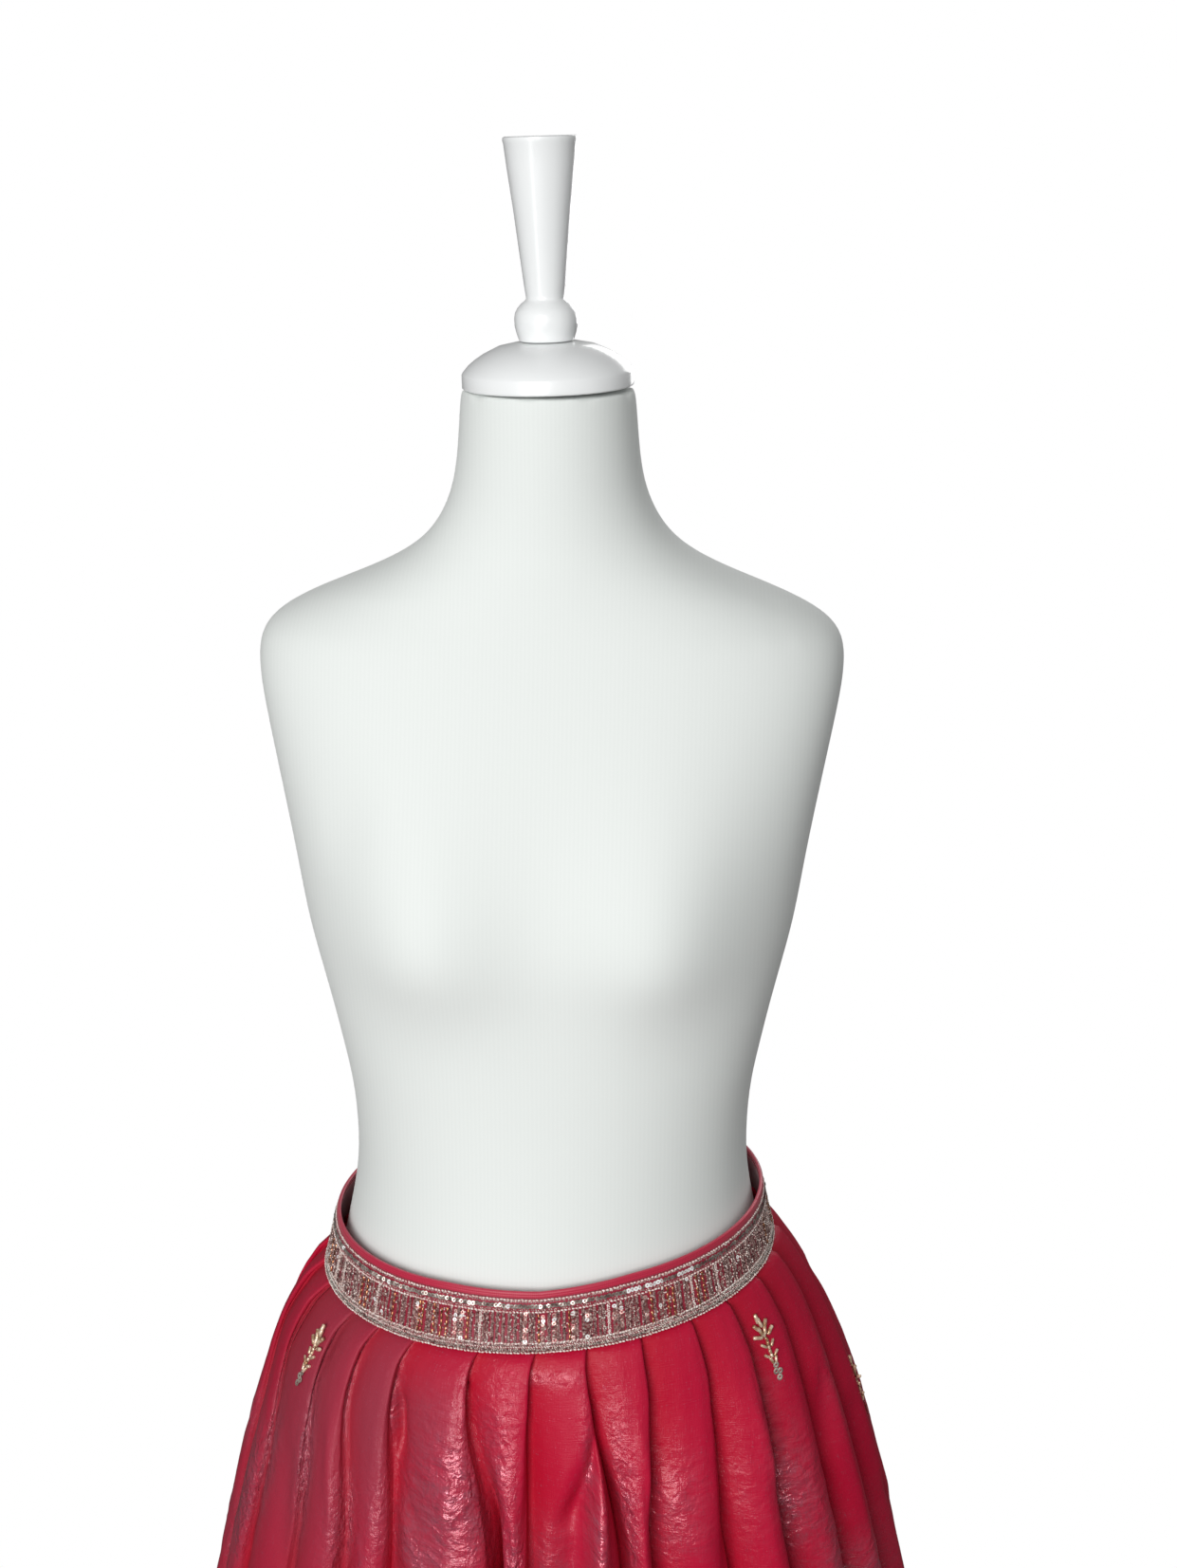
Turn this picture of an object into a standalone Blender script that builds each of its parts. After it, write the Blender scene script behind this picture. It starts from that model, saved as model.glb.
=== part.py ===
# Lehenga skirt worn by a limbless dress form on a pole stand, at real size.
# Metres, +Z up, the front faces -Y, and the origin is where the pole's axis meets the floor.

import math
import random
from collections import namedtuple

import bmesh
import bpy

# Driving dimensions of the garment
GAP = 0.0003
CLOTH = 0.0014
HEM_Z = 0.012
BAND_BOTTOM_Z = 1.006
BAND_TILT = math.radians(4.5)
BAND_HEIGHT = 0.0365
BAND_THICKNESS = 0.0022
PIPING_HEIGHT = 0.0042
PIPING_THICKNESS = 0.0030
FRONT_DIP = 0.0025
FRONT_DIP_ANGLE = math.radians(24)
TUCK = 0.010
TUCK_END = 0.0005
SEWN_FOLD = 0.0036
FORM_CLEARANCE = 0.0005

# The band's ends lap over each other at the centre back
LAP_ANGLE = math.radians(6)
LAP_RISE_ANGLE = math.radians(34)
LAP_LIFT = 0.0038
BAND_COLUMNS = 80

# Driving dimensions of the dress form and its stand
TORSO_BOTTOM_Z = 0.800
NECK_TOP_Z = 1.5865
TORSO_COLUMNS = 36
TORSO_RING_STEP = 0.036
BUST_HEIGHT_Z = 1.262
BUST_SPREAD = 0.076
BUST_PROJECTION = 0.034
BUST_HALF_WIDTH = 0.052
BUST_ABOVE = 0.075
BUST_BELOW = 0.042
CAP_TILT = math.radians(-1.6)
CAP_RADIUS = 0.052
BOARD_THICKNESS = 0.009
BOARD_INSET = 0.006
BOARD_COLUMNS = 48
POLE_RADIUS = 0.0125
POLE_FLANGE_RADIUS = 0.040
POLE_FLANGE_THICKNESS = 0.006
FOOT_RADIUS = 0.150
FOOT_THICKNESS = 0.009
COLLAR_RADIUS = 0.024
COLLAR_HEIGHT = 0.055

# The form's level sections, from its flat underside up to the neck
BodySection = namedtuple("BodySection", "z half_width half_depth centre_y squareness")
BODY = (
    BodySection(0.800, 0.1690, 0.1370, 0.002, 2.0),
    BodySection(0.850, 0.1725, 0.1430, 0.001, 2.0),
    BodySection(0.900, 0.1690, 0.1430, 0.000, 2.0),
    BodySection(0.950, 0.1600, 0.1380, -0.001, 2.0),
    BodySection(1.006, 0.1458, 0.1290, -0.002, 2.0),
    BodySection(1.046, 0.1366, 0.1200, -0.002, 2.0),
    BodySection(1.080, 0.1310, 0.1120, -0.001, 2.0),
    BodySection(1.130, 0.1330, 0.1080, 0.000, 2.1),
    BodySection(1.190, 0.1450, 0.1080, 0.002, 2.2),
    BodySection(1.250, 0.1590, 0.1060, 0.004, 2.3),
    BodySection(1.310, 0.1680, 0.1050, 0.007, 2.4),
    BodySection(1.360, 0.1770, 0.0980, 0.010, 2.5),
    BodySection(1.400, 0.1845, 0.0890, 0.012, 2.5),
    BodySection(1.422, 0.1865, 0.0830, 0.013, 2.4),
    BodySection(1.437, 0.1835, 0.0790, 0.013, 2.3),
    BodySection(1.448, 0.1725, 0.0755, 0.013, 2.1),
    BodySection(1.457, 0.1560, 0.0730, 0.013, 2.0),
    BodySection(1.465, 0.1370, 0.0710, 0.0125, 2.0),
    BodySection(1.472, 0.1190, 0.0690, 0.012, 2.0),
    BodySection(1.479, 0.1035, 0.0670, 0.011, 2.0),
    BodySection(1.487, 0.0890, 0.0645, 0.010, 2.0),
    BodySection(1.497, 0.0765, 0.0615, 0.009, 2.0),
    BodySection(1.510, 0.0670, 0.0585, 0.007, 2.0),
    BodySection(1.526, 0.0600, 0.0560, 0.005, 2.0),
    BodySection(1.546, 0.0558, 0.0546, 0.003, 2.0),
    BodySection(1.582, 0.0536, 0.0536, 0.002, 2.0),
    BodySection(1.5865, 0.0520, 0.0520, 0.002, 2.0),
)

# The skirt's rings, by their drop below the band: the folds' reach, how far the ring leans to one side, the
# folds' depth, and how far they have opened, from stage 0 where they are sewn to stage 3 at the hem
SkirtRing = namedtuple("SkirtRing", "drop half_width half_depth centre_x fold_depth stage")
SKIRT = (
    SkirtRing(0.004, 0.1580, 0.1395, -0.0020, 0.0046, 0.2),
    SkirtRing(0.014, 0.1680, 0.1460, -0.0045, 0.0072, 0.7),
    SkirtRing(0.040, 0.1840, 0.1580, -0.0050, 0.0120, 1.1),
    SkirtRing(0.080, 0.2010, 0.1735, -0.0030, 0.0180, 1.6),
    SkirtRing(0.140, 0.2215, 0.1940, -0.0010, 0.0250, 2.0),
    SkirtRing(0.240, 0.2465, 0.2200, 0.0000, 0.0325, 2.15),
    SkirtRing(0.400, 0.2810, 0.2530, 0.0000, 0.0385, 2.4),
    SkirtRing(0.690, 0.3430, 0.3120, 0.0000, 0.0390, 2.7),
    SkirtRing(0.994, 0.4050, 0.3700, 0.0000, 0.0350, 3.0),
)

# One fold of the cloth, from the valley on its left to the valley on its right. Each stage gives the
# point's place across the fold, as a share of its width, and out from the valley, as a share of its depth
FoldPoint = namedtuple("FoldPoint", "sewn pressed open hem")
FOLD_SHAPE = (
    FoldPoint((0.020, 0.00), (0.030, 0.03), (0.050, 0.02), (0.030, 0.02)),
    FoldPoint((0.280, 0.36), (0.260, 0.42), (0.200, 0.40), (0.170, 0.34)),
    FoldPoint((0.570, 0.72), (0.550, 0.80), (0.390, 0.79), (0.330, 0.78)),
    FoldPoint((0.830, 0.97), (0.840, 1.00), (0.610, 1.00), (0.520, 1.00)),
    FoldPoint((0.920, 1.00), (0.980, 0.92), (0.810, 0.93), (0.700, 0.90)),
    FoldPoint((0.955, 0.72), (0.975, 0.65), (0.930, 0.64), (0.840, 0.56)),
    FoldPoint((0.975, 0.38), (0.925, 0.36), (0.955, 0.32), (0.910, 0.24)),
    FoldPoint((0.990, 0.08), (0.940, 0.09), (0.980, 0.07), (0.965, 0.05)),
)

# Each fold's left edge in degrees round from the centre front: at the band, 0.14 m below it and at the hem
Fold = namedtuple("Fold", "at_band below at_hem depth")
FRONT_FOLDS = (
    Fold(-72.0, -66.0, -68.0, 0.95),
    Fold(-53.9, -48.5, -53.0, 1.05),
    Fold(-43.4, -36.8, -39.5, 0.85),
    Fold(-31.6, -27.3, -27.0, 1.10),
    Fold(-13.9, -6.6, -13.5, 0.70),
    Fold(-0.1, -1.1, 0.5, 1.00),
    Fold(12.1, 16.5, 13.5, 0.90),
    Fold(25.6, 21.1, 26.0, 0.75),
    Fold(39.7, 36.6, 38.5, 1.00),
    Fold(51.9, 48.3, 52.0, 0.85),
)
RIGHT_FOLDS = 8
BACK_FOLDS = 8
FOLD_LEVELS = (0.0, 0.14, 0.994)
WANDER_DEGREES = 1.6


def lerp(a, b, share):
    return a + (b - a) * share


def table_at(rows, key, value):
    """A row of the table worked out between its two nearest rows."""
    low = rows[0]
    for high in rows[1:]:
        if getattr(high, key) >= value:
            break
        low = high
    span = getattr(high, key) - getattr(low, key)
    share = min(1.0, max(0.0, (value - getattr(low, key)) / span)) if span else 0.0
    return type(low)(*(lerp(a, b, share) for a, b in zip(low, high)))


def material(name, colour, roughness, metallic=0.0):
    made = bpy.data.materials.new(name)
    made.use_nodes = True
    shader = made.node_tree.nodes["Principled BSDF"]
    shader.inputs["Base Color"].default_value = (*colour, 1.0)
    shader.inputs["Roughness"].default_value = roughness
    shader.inputs["Metallic"].default_value = metallic
    return made


def mesh_object(name, body, finish, collection):
    mesh = bpy.data.meshes.new(name)
    bmesh.ops.recalc_face_normals(body, faces=body.faces)
    body.to_mesh(mesh)
    body.free()
    mesh.shade_smooth()
    mesh.set_sharp_from_angle(angle=math.radians(50))
    made = bpy.data.objects.new(name, mesh)
    made.data.materials.append(finish)
    collection.objects.link(made)
    return made


def ring_point(half_width, half_depth, centre_y, angle, squareness=2.0):
    """A point of a level oval, with the angle measured from the front towards +X."""
    power = 2.0 / squareness
    across = math.copysign(abs(math.sin(angle)) ** power, math.sin(angle))
    along = math.copysign(abs(math.cos(angle)) ** power, math.cos(angle))
    return half_width * across, centre_y - half_depth * along


def ring_normal(half_width, half_depth, angle):
    """The level outward direction of the oval at that angle."""
    x, y = math.sin(angle) / half_width, -math.cos(angle) / half_depth
    size = math.hypot(x, y)
    return x / size, y / size


def band_bottom_z(x):
    """The band is worn a little higher on the +X side."""
    return BAND_BOTTOM_Z + x * math.tan(BAND_TILT)


# Dress form

def bust(x, z, facing_front):
    """How far the bust stands proud of the rib cage."""
    spread = BUST_ABOVE if z > BUST_HEIGHT_Z else BUST_BELOW
    level = math.exp(-(((z - BUST_HEIGHT_Z) / spread) ** 2))
    left, right = ((x - side * BUST_SPREAD) / BUST_HALF_WIDTH for side in (-1, 1))
    across = math.exp(-left * left) + math.exp(-right * right)
    return BUST_PROJECTION * level * across * max(0.0, facing_front) ** 0.8


def section_ring(section, columns, inset=0.0):
    """Level points round one section of the form."""
    half_width, half_depth = section.half_width - inset, section.half_depth - inset
    oval = half_width, half_depth, section.centre_y
    angles = (math.tau * column / columns for column in range(columns))
    return [(ring_point(*oval, angle, section.squareness), angle) for angle in angles]


def torso_ring(z):
    """The form's ring at height z, with the bust moved out."""
    ring = section_ring(table_at(BODY, "z", z), TORSO_COLUMNS)
    return [(x, y - bust(x, z, math.cos(angle)), z) for (x, y), angle in ring]


def torso_levels():
    """Every section of the table, with more between those that are far apart."""
    levels = [BODY[0].z]
    for low, high in zip(BODY, BODY[1:]):
        steps = max(1, round((high.z - low.z) / TORSO_RING_STEP))
        levels += [lerp(low.z, high.z, (i + 1) / steps) for i in range(steps)]
    return levels


def loft(body, rows, closed=True):
    """Quads between each row of points and the next, and the rows of vertices."""
    made = [[body.verts.new(p) for p in row] for row in rows]
    count = len(made[0])
    for lower, upper in zip(made, made[1:]):
        for i in range(count if closed else count - 1):
            j = (i + 1) % count
            body.faces.new((lower[i], lower[j], upper[j], upper[i]))
    return made


def add_torso(finish, collection):
    body = bmesh.new()
    rows = loft(body, [torso_ring(z) for z in torso_levels()])
    body.faces.new(rows[0])
    body.faces.new(rows[-1])
    return mesh_object("form_torso", body, finish, collection)


def turned(name, profile, steps, finish, collection, location=(0, 0, 0), tilt=0.0):
    """A solid of revolution from (radius, height) points, down its outer side from the axis to the axis."""
    mesh = bpy.data.meshes.new(name)
    points = [(radius, 0.0, height) for radius, height in profile]
    mesh.from_pydata(points, [(i, i + 1) for i in range(len(points) - 1)], [])
    made = bpy.data.objects.new(name, mesh)
    collection.objects.link(made)
    made.data.materials.append(finish)
    made.location = location
    made.rotation_euler = (0, tilt, 0)
    screw = made.modifiers.new("Turn", "SCREW")
    screw.steps = screw.render_steps = steps
    screw.use_merge_vertices = True
    screw.merge_threshold = 0.00001
    screw.use_smooth_shade = True
    return made


CAP_PROFILE = (
    (0.0, 0.0268),
    (0.0200, 0.0262),
    (0.0300, 0.0241),
    (0.0395, 0.0198),
    (0.0460, 0.0155),
    (0.0505, 0.0112),
    (CAP_RADIUS, 0.0090),
    (CAP_RADIUS, 0.0008),
    (CAP_RADIUS - 0.0008, 0.0),
    (0.0, 0.0),
)
FINIAL_PROFILE = (
    (0.0, 0.1170),
    (0.0205, 0.1164),
    (0.0220, 0.1146),
    (0.0202, 0.1000),
    (0.0172, 0.0760),
    (0.0146, 0.0520),
    (0.0124, 0.0320),
    (0.0115, 0.0246),
    (0.0140, 0.0226),
    (0.0170, 0.0192),
    (0.0188, 0.0148),
    (0.0190, 0.0110),
    (0.0180, 0.0050),
    (0.0168, 0.0006),
    (0.0162, 0.0),
    (0.0, 0.0),
)


def add_cap_and_finial(finish, collection):
    """The turned cap sits a little askew, so it is lifted until its low edge just clears the neck."""
    lift = GAP + CAP_RADIUS * math.sin(abs(CAP_TILT))
    cap_at = (0.0, BODY[-1].centre_y, NECK_TOP_Z + lift)
    turned("neck_cap", CAP_PROFILE, 40, finish, collection, cap_at, CAP_TILT)
    rise = CAP_PROFILE[0][1] + GAP
    finial_at = (
        cap_at[0] + rise * math.sin(CAP_TILT),
        cap_at[1],
        cap_at[2] + rise * math.cos(CAP_TILT),
    )
    turned("finial", FINIAL_PROFILE, 28, finish, collection, finial_at, CAP_TILT)


def add_stand(painted, board, collection):
    """A board under the torso, and a flanged pole that stands in the collar of a round foot."""
    body = bmesh.new()
    top = TORSO_BOTTOM_Z - GAP
    outline = section_ring(BODY[0], BOARD_COLUMNS, BOARD_INSET)
    made = loft(body, [[(x, y, z) for (x, y), _ in outline] for z in (top - BOARD_THICKNESS, top)])
    body.faces.new(made[0])
    body.faces.new(made[-1])
    mesh_object("form_board", body, board, collection)

    board_bottom = top - BOARD_THICKNESS
    flange_top = board_bottom - GAP
    pole_bottom = FOOT_THICKNESS + GAP
    turned(
        "stand_pole",
        (
            (0.0, flange_top),
            (POLE_FLANGE_RADIUS, flange_top),
            (POLE_FLANGE_RADIUS, flange_top - POLE_FLANGE_THICKNESS),
            (POLE_RADIUS, flange_top - POLE_FLANGE_THICKNESS),
            (POLE_RADIUS, pole_bottom),
            (0.0, pole_bottom),
        ),
        24, painted, collection,
    )
    turned(
        "stand_foot",
        (
            (0.0, FOOT_THICKNESS),
            (POLE_RADIUS + GAP, FOOT_THICKNESS),
            (POLE_RADIUS + GAP, COLLAR_HEIGHT),
            (COLLAR_RADIUS, COLLAR_HEIGHT),
            (COLLAR_RADIUS, FOOT_THICKNESS + 0.003),
            (COLLAR_RADIUS + 0.006, FOOT_THICKNESS),
            (FOOT_RADIUS - 0.002, FOOT_THICKNESS),
            (FOOT_RADIUS, FOOT_THICKNESS - 0.002),
            (FOOT_RADIUS, 0.0),
            (0.0, 0.0),
        ),
        48, painted, collection,
    )


# Skirt

def spread_folds():
    """The folds that the front shows, then even ones round both sides to the centre back."""
    rng = random.Random(26)
    folds = list(FRONT_FOLDS)
    last = folds[-1]
    for i in range(RIGHT_FOLDS):
        share = (i + 1) / (RIGHT_FOLDS + 1)
        wander = rng.uniform(-WANDER_DEGREES, WANDER_DEGREES)
        levels = [lerp(start, 180.0, share) for start in (last.at_band, last.below, last.at_hem)]
        folds.append(Fold(levels[0], levels[1] + wander, levels[2] - wander, rng.uniform(0.85, 1.12)))
    first = folds[0]
    for i in range(BACK_FOLDS):
        share = i / BACK_FOLDS
        wander = rng.uniform(-WANDER_DEGREES, WANDER_DEGREES) if i else 0.0
        levels = [lerp(180.0, end + 360.0, share) for end in (first.at_band, first.below, first.at_hem)]
        folds.append(Fold(levels[0], levels[1] + wander, levels[2] - wander, rng.uniform(0.85, 1.12)))
    return folds


FOLDS = spread_folds()


def fold_edge(index, drop):
    """The angle in degrees of a fold's left edge at that drop below the band."""
    turns, k = divmod(index, len(FOLDS))
    fold = FOLDS[k]
    top, middle, bottom = FOLD_LEVELS
    if drop <= middle:
        share = max(0.0, drop - top) / (middle - top)
        angle = lerp(fold.at_band, fold.below, share * share * (3 - 2 * share))
    else:
        angle = lerp(fold.below, fold.at_hem, (drop - middle) / (bottom - middle))
    return angle + 360.0 * turns


def fold_point(stage, i):
    """Point i of a fold's shape at any stage, between the two stages of the table on each side."""
    low = min(int(stage), len(FoldPoint._fields) - 2)
    before, after = FOLD_SHAPE[i][low], FOLD_SHAPE[i][low + 1]
    share = stage - low
    return lerp(before[0], after[0], share), lerp(before[1], after[1], share)


def skirt_levels():
    """The skirt's rings, with two more that lie on the form where its top is tucked up behind the band."""
    tucked = [SkirtRing(drop, 0, 0, 0, SEWN_FOLD, 0.0) for drop in (-TUCK, TUCK_END)]
    return tucked + list(SKIRT)


def skirt_point(index, i, ring):
    """Point i of a fold, in the middle of the cloth."""
    left, right = fold_edge(index, ring.drop), fold_edge(index + 1, ring.drop)
    across, out = fold_point(ring.stage, i)
    angle = math.radians(lerp(left, right, across))
    tucked = ring.drop <= TUCK_END
    if tucked:
        z_near = BAND_BOTTOM_Z - ring.drop
        body = table_at(BODY, "z", z_near)
        x = body.half_width * math.sin(angle)
        body = table_at(BODY, "z", band_bottom_z(x) - ring.drop)
        clear = FORM_CLEARANCE + CLOTH / 2
        half_width, half_depth, centre_y = body.half_width + clear, body.half_depth + clear, body.centre_y
        depth = ring.fold_depth
    else:
        half_width, half_depth = ring.half_width - ring.fold_depth, ring.half_depth - ring.fold_depth
        centre_y = table_at(BODY, "z", BAND_BOTTOM_Z).centre_y
        uneven = min(1.0, ring.drop / 0.05)
        depth = ring.fold_depth * lerp(1.0, FOLDS[index % len(FOLDS)].depth, uneven)
    x, y = ring_point(half_width, half_depth, centre_y, angle)
    nx, ny = ring_normal(half_width, half_depth, angle)
    x, y = x + ring.centre_x + nx * depth * out, y + ny * depth * out
    top = band_bottom_z(x)
    fall = ring.drop if tucked else ring.drop * (top - HEM_Z) / (BAND_BOTTOM_Z - HEM_Z)
    return x, y, top - fall


def wall_rows(row, thickness):
    """The row moved half the thickness out and in, level, with mitred corners."""
    outer, inner = [], []
    for i, (x, y, z) in enumerate(row):
        before, after = row[max(i - 1, 0)], row[min(i + 1, len(row) - 1)]
        normals = []
        for start, end in ((before, (x, y)), ((x, y), after)):
            dx, dy = end[0] - start[0], end[1] - start[1]
            size = math.hypot(dx, dy)
            if size > 1e-9:
                normals.append((dy / size, -dx / size))
        nx = sum(n[0] for n in normals) / len(normals)
        ny = sum(n[1] for n in normals) / len(normals)
        size = math.hypot(nx, ny)
        mitre = min(1.7, 1.0 / max(size, 0.3)) * thickness / 2 / size
        outer.append((x + nx * mitre, y + ny * mitre, z))
        inner.append((x - nx * mitre, y - ny * mitre, z))
    return outer, inner


def wall(name, outer, inner, finish, collection):
    """A cloth wall with ends, closed between its outer and inner rows of points."""
    body = bmesh.new()
    out_rows = loft(body, outer, closed=False)
    in_rows = loft(body, inner, closed=False)
    for out_row, in_row in ((out_rows[0], in_rows[0]), (out_rows[-1], in_rows[-1])):
        for i in range(len(out_row) - 1):
            body.faces.new((out_row[i], in_row[i], in_row[i + 1], out_row[i + 1]))
    for end in (0, -1):
        for k in range(len(out_rows) - 1):
            body.faces.new((out_rows[k][end], out_rows[k + 1][end], in_rows[k + 1][end], in_rows[k][end]))
    return mesh_object(name, body, finish, collection)


def cut_end(out_row, in_row, end, neighbour):
    """Move the end back by half a gap, square to the cut that both panels share."""
    (ox, oy, oz), (ix, iy, iz) = out_row[end], in_row[end]
    nx, ny = iy - oy, ox - ix
    size = math.hypot(nx, ny)
    towards = (out_row[neighbour][0] + in_row[neighbour][0]) / 2 - (ox + ix) / 2
    towards_y = (out_row[neighbour][1] + in_row[neighbour][1]) / 2 - (oy + iy) / 2
    side = math.copysign(0.6 * GAP / size, nx * towards + ny * towards_y)
    out_row[end] = (ox + nx * side, oy + ny * side, oz)
    in_row[end] = (ix + nx * side, iy + ny * side, iz)


def add_skirt_panel(name, first, last, finish, collection):
    """One width of cloth, pleated from fold number first to the seam before fold number last."""
    outer, inner = [], []
    points = len(FOLD_SHAPE)
    for ring in skirt_levels():
        row = [skirt_point(first - 1, points - 1, ring)]
        row += [skirt_point(k, i, ring) for k in range(first, last) for i in range(points)]
        row += [skirt_point(last, 0, ring), skirt_point(last, 1, ring)]
        out_row, in_row = (side[1:-1] for side in wall_rows(row, CLOTH))
        cut_end(out_row, in_row, 0, 1)
        cut_end(out_row, in_row, -1, -2)
        outer.append(out_row)
        inner.append(in_row)
    wall(name, outer, inner, finish, collection)


# Waistband

BandRidge = namedtuple("BandRidge", "height proud")
BAND_FACE = (
    BandRidge(0.0000, 0.0000),
    BandRidge(0.0008, 0.0010),
    BandRidge(0.0056, 0.0010),
    BandRidge(0.0066, 0.0002),
    BandRidge(0.0275, 0.0002),
    BandRidge(0.0283, 0.0010),
    BandRidge(BAND_HEIGHT, 0.0007),
)


def front_dip(angle):
    """The band's two halves meet at the centre front in a shallow corner."""
    off_front = abs((angle + math.pi) % math.tau - math.pi)
    return FRONT_DIP * max(0.0, 1.0 - off_front / FRONT_DIP_ANGLE)


def band_point(angle, height, proud):
    """A point at a height above the band's lower edge, proud of the band's inner face."""
    rise_from = math.tau - LAP_ANGLE - LAP_RISE_ANGLE
    along = angle + math.pi
    share = min(1.0, max(0.0, (along - rise_from) / LAP_RISE_ANGLE))
    lift = LAP_LIFT * share * share * (3 - 2 * share)
    body = table_at(BODY, "z", BAND_BOTTOM_Z + height)
    x = body.half_width * math.sin(angle)
    z = band_bottom_z(x) + height - front_dip(angle) * height / BAND_HEIGHT
    body = table_at(BODY, "z", z)
    skirt_reach = FORM_CLEARANCE + CLOTH + SEWN_FOLD + GAP + 0.0002
    out = skirt_reach + lift + proud
    x, y = ring_point(body.half_width, body.half_depth, body.centre_y, angle)
    nx, ny = ring_normal(body.half_width, body.half_depth, angle)
    return x + nx * out, y + ny * out, z


def band_angles():
    """From the under end at the centre back, round the front, to the end that laps over it."""
    start, end = -math.pi - LAP_ANGLE, math.pi + LAP_ANGLE
    return [lerp(start, end, i / BAND_COLUMNS) for i in range(BAND_COLUMNS + 1)]


def add_waistband(finish, collection):
    angles = band_angles()
    outer = [[band_point(a, r.height, BAND_THICKNESS + r.proud) for a in angles] for r in BAND_FACE]
    inner = [[band_point(a, r.height, 0.0) for a in angles] for r in BAND_FACE]
    wall("waistband", outer, inner, finish, collection)


def add_piping(finish, collection):
    """The folded facing that shows as a rounded lip above the embroidery."""
    angles = band_angles()
    bottom = BAND_HEIGHT + GAP
    side = PIPING_THICKNESS * 0.2
    faces = (
        (0.0, side, PIPING_THICKNESS - side),
        (PIPING_HEIGHT * 0.3, 0.0, PIPING_THICKNESS),
        (PIPING_HEIGHT * 0.75, 0.0, PIPING_THICKNESS),
        (PIPING_HEIGHT, side, PIPING_THICKNESS - side),
    )
    outer = [[band_point(a, bottom + h, far) for a in angles] for h, near, far in faces]
    inner = [[band_point(a, bottom + h, near) for a in angles] for h, near, far in faces]
    wall("waistband_piping", outer, inner, finish, collection)


def main():
    for old in list(bpy.data.objects):
        bpy.data.objects.remove(old)
    collection = bpy.data.collections.new("lehenga_skirt_on_dress_form")
    bpy.context.scene.collection.children.link(collection)

    tissue = material("crimson_tissue_organza", (0.56, 0.035, 0.085), 0.38, 0.25)
    zari = material("zari_embroidery", (0.45, 0.27, 0.24), 0.35, 0.6)
    facing = material("crimson_satin_facing", (0.62, 0.05, 0.11), 0.45)
    jersey = material("white_jersey", (0.80, 0.81, 0.80), 0.85)
    lacquer = material("white_lacquered_wood", (0.86, 0.87, 0.87), 0.28)
    board = material("white_board", (0.75, 0.75, 0.73), 0.7)
    painted = material("white_painted_steel", (0.82, 0.82, 0.82), 0.35, 0.2)

    add_torso(jersey, collection)
    add_cap_and_finial(lacquer, collection)
    add_stand(painted, board, collection)

    front_end = len(FRONT_FOLDS) - 1
    back_seam = front_end + RIGHT_FOLDS + 1
    add_skirt_panel("skirt_front", 0, front_end, tissue, collection)
    add_skirt_panel("skirt_back_left", front_end, back_seam, tissue, collection)
    add_skirt_panel("skirt_back_right", back_seam, len(FOLDS), tissue, collection)
    add_waistband(zari, collection)
    add_piping(facing, collection)


main()
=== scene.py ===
# %% [markdown]
# # A pleated lehenga skirt on a dress form
# A lehenga is a long, full skirt. This one is knife-pleated into a stiff waistband that is covered in zari
# cord, sequins and bugle beads. It is shown on a limbless dress form, and its cloth is a crushed tissue
# organza: crimson silk warp with a pale metallic weft, so that the same cloth looks red in its folds and
# pink on its crests. Every length below is in metres. The front faces -Y, and the frame holds the solids
# that the pieces are fitted to.

import math
import random
from collections import namedtuple

import bpy
import numpy as np
from mathutils import Matrix, Vector, noise


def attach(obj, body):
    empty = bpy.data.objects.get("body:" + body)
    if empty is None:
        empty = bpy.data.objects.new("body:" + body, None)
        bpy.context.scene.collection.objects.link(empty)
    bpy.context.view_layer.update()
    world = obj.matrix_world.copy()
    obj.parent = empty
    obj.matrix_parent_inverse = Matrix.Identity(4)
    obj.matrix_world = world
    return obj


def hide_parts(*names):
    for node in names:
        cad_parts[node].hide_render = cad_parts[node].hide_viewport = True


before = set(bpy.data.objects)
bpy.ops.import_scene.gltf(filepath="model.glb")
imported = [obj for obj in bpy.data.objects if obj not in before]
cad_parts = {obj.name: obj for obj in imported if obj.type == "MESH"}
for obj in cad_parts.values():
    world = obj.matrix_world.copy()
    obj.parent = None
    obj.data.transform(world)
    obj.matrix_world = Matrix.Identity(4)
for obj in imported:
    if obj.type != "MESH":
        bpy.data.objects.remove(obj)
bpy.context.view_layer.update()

# %% [markdown]
# ## Small helpers
# Colours are picked as sRGB hex values, as from a paint card, but shaders work in linear light, so one
# function turns them. Another adds a node with its settings and its links in one line, which keeps each
# material short.

# %% Colours, nodes and selection
def to_linear(colour):
    """A linear RGBA colour from an sRGB hex string such as #A0522D."""
    channels = [int(colour[i:i + 2], 16) / 255 for i in (1, 3, 5)]
    return tuple(c / 12.92 if c <= 0.04045 else ((c + 0.055) / 1.055) ** 2.4 for c in channels) + (1.0,)


def set_inputs(tree, node, **inputs):
    """Sets each input to a value or links it to an output: Coat_IOR is the input Coat IOR, i0 the first."""
    for name, value in inputs.items():
        key = int(name[1:]) if name[1:].isdigit() else name.replace("_", " ")
        if isinstance(value, bpy.types.NodeSocket):
            tree.links.new(value, node.inputs[key])
        else:
            node.inputs[key].default_value = value


def add_node(tree, kind, settings=None, **inputs):
    """The first output of a new shader node, with its settings and inputs."""
    made = tree.nodes.new("ShaderNode" + kind)
    for name, value in (settings or {}).items():
        setattr(made, name, value)
    set_inputs(tree, made, **inputs)
    return [socket for socket in made.outputs if socket.enabled][0]


def blend(tree, share, first, second):
    """The first colour where the share is 0, and the second where it is 1."""
    return add_node(tree, "Mix", {"data_type": "RGBA"}, Factor=share, i6=first, i7=second)


def new_material(name):
    """An empty material with its Principled shader, and its tree."""
    made = bpy.data.materials.new(name)
    made.use_nodes = True
    return made, made.node_tree, made.node_tree.nodes["Principled BSDF"]


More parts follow.
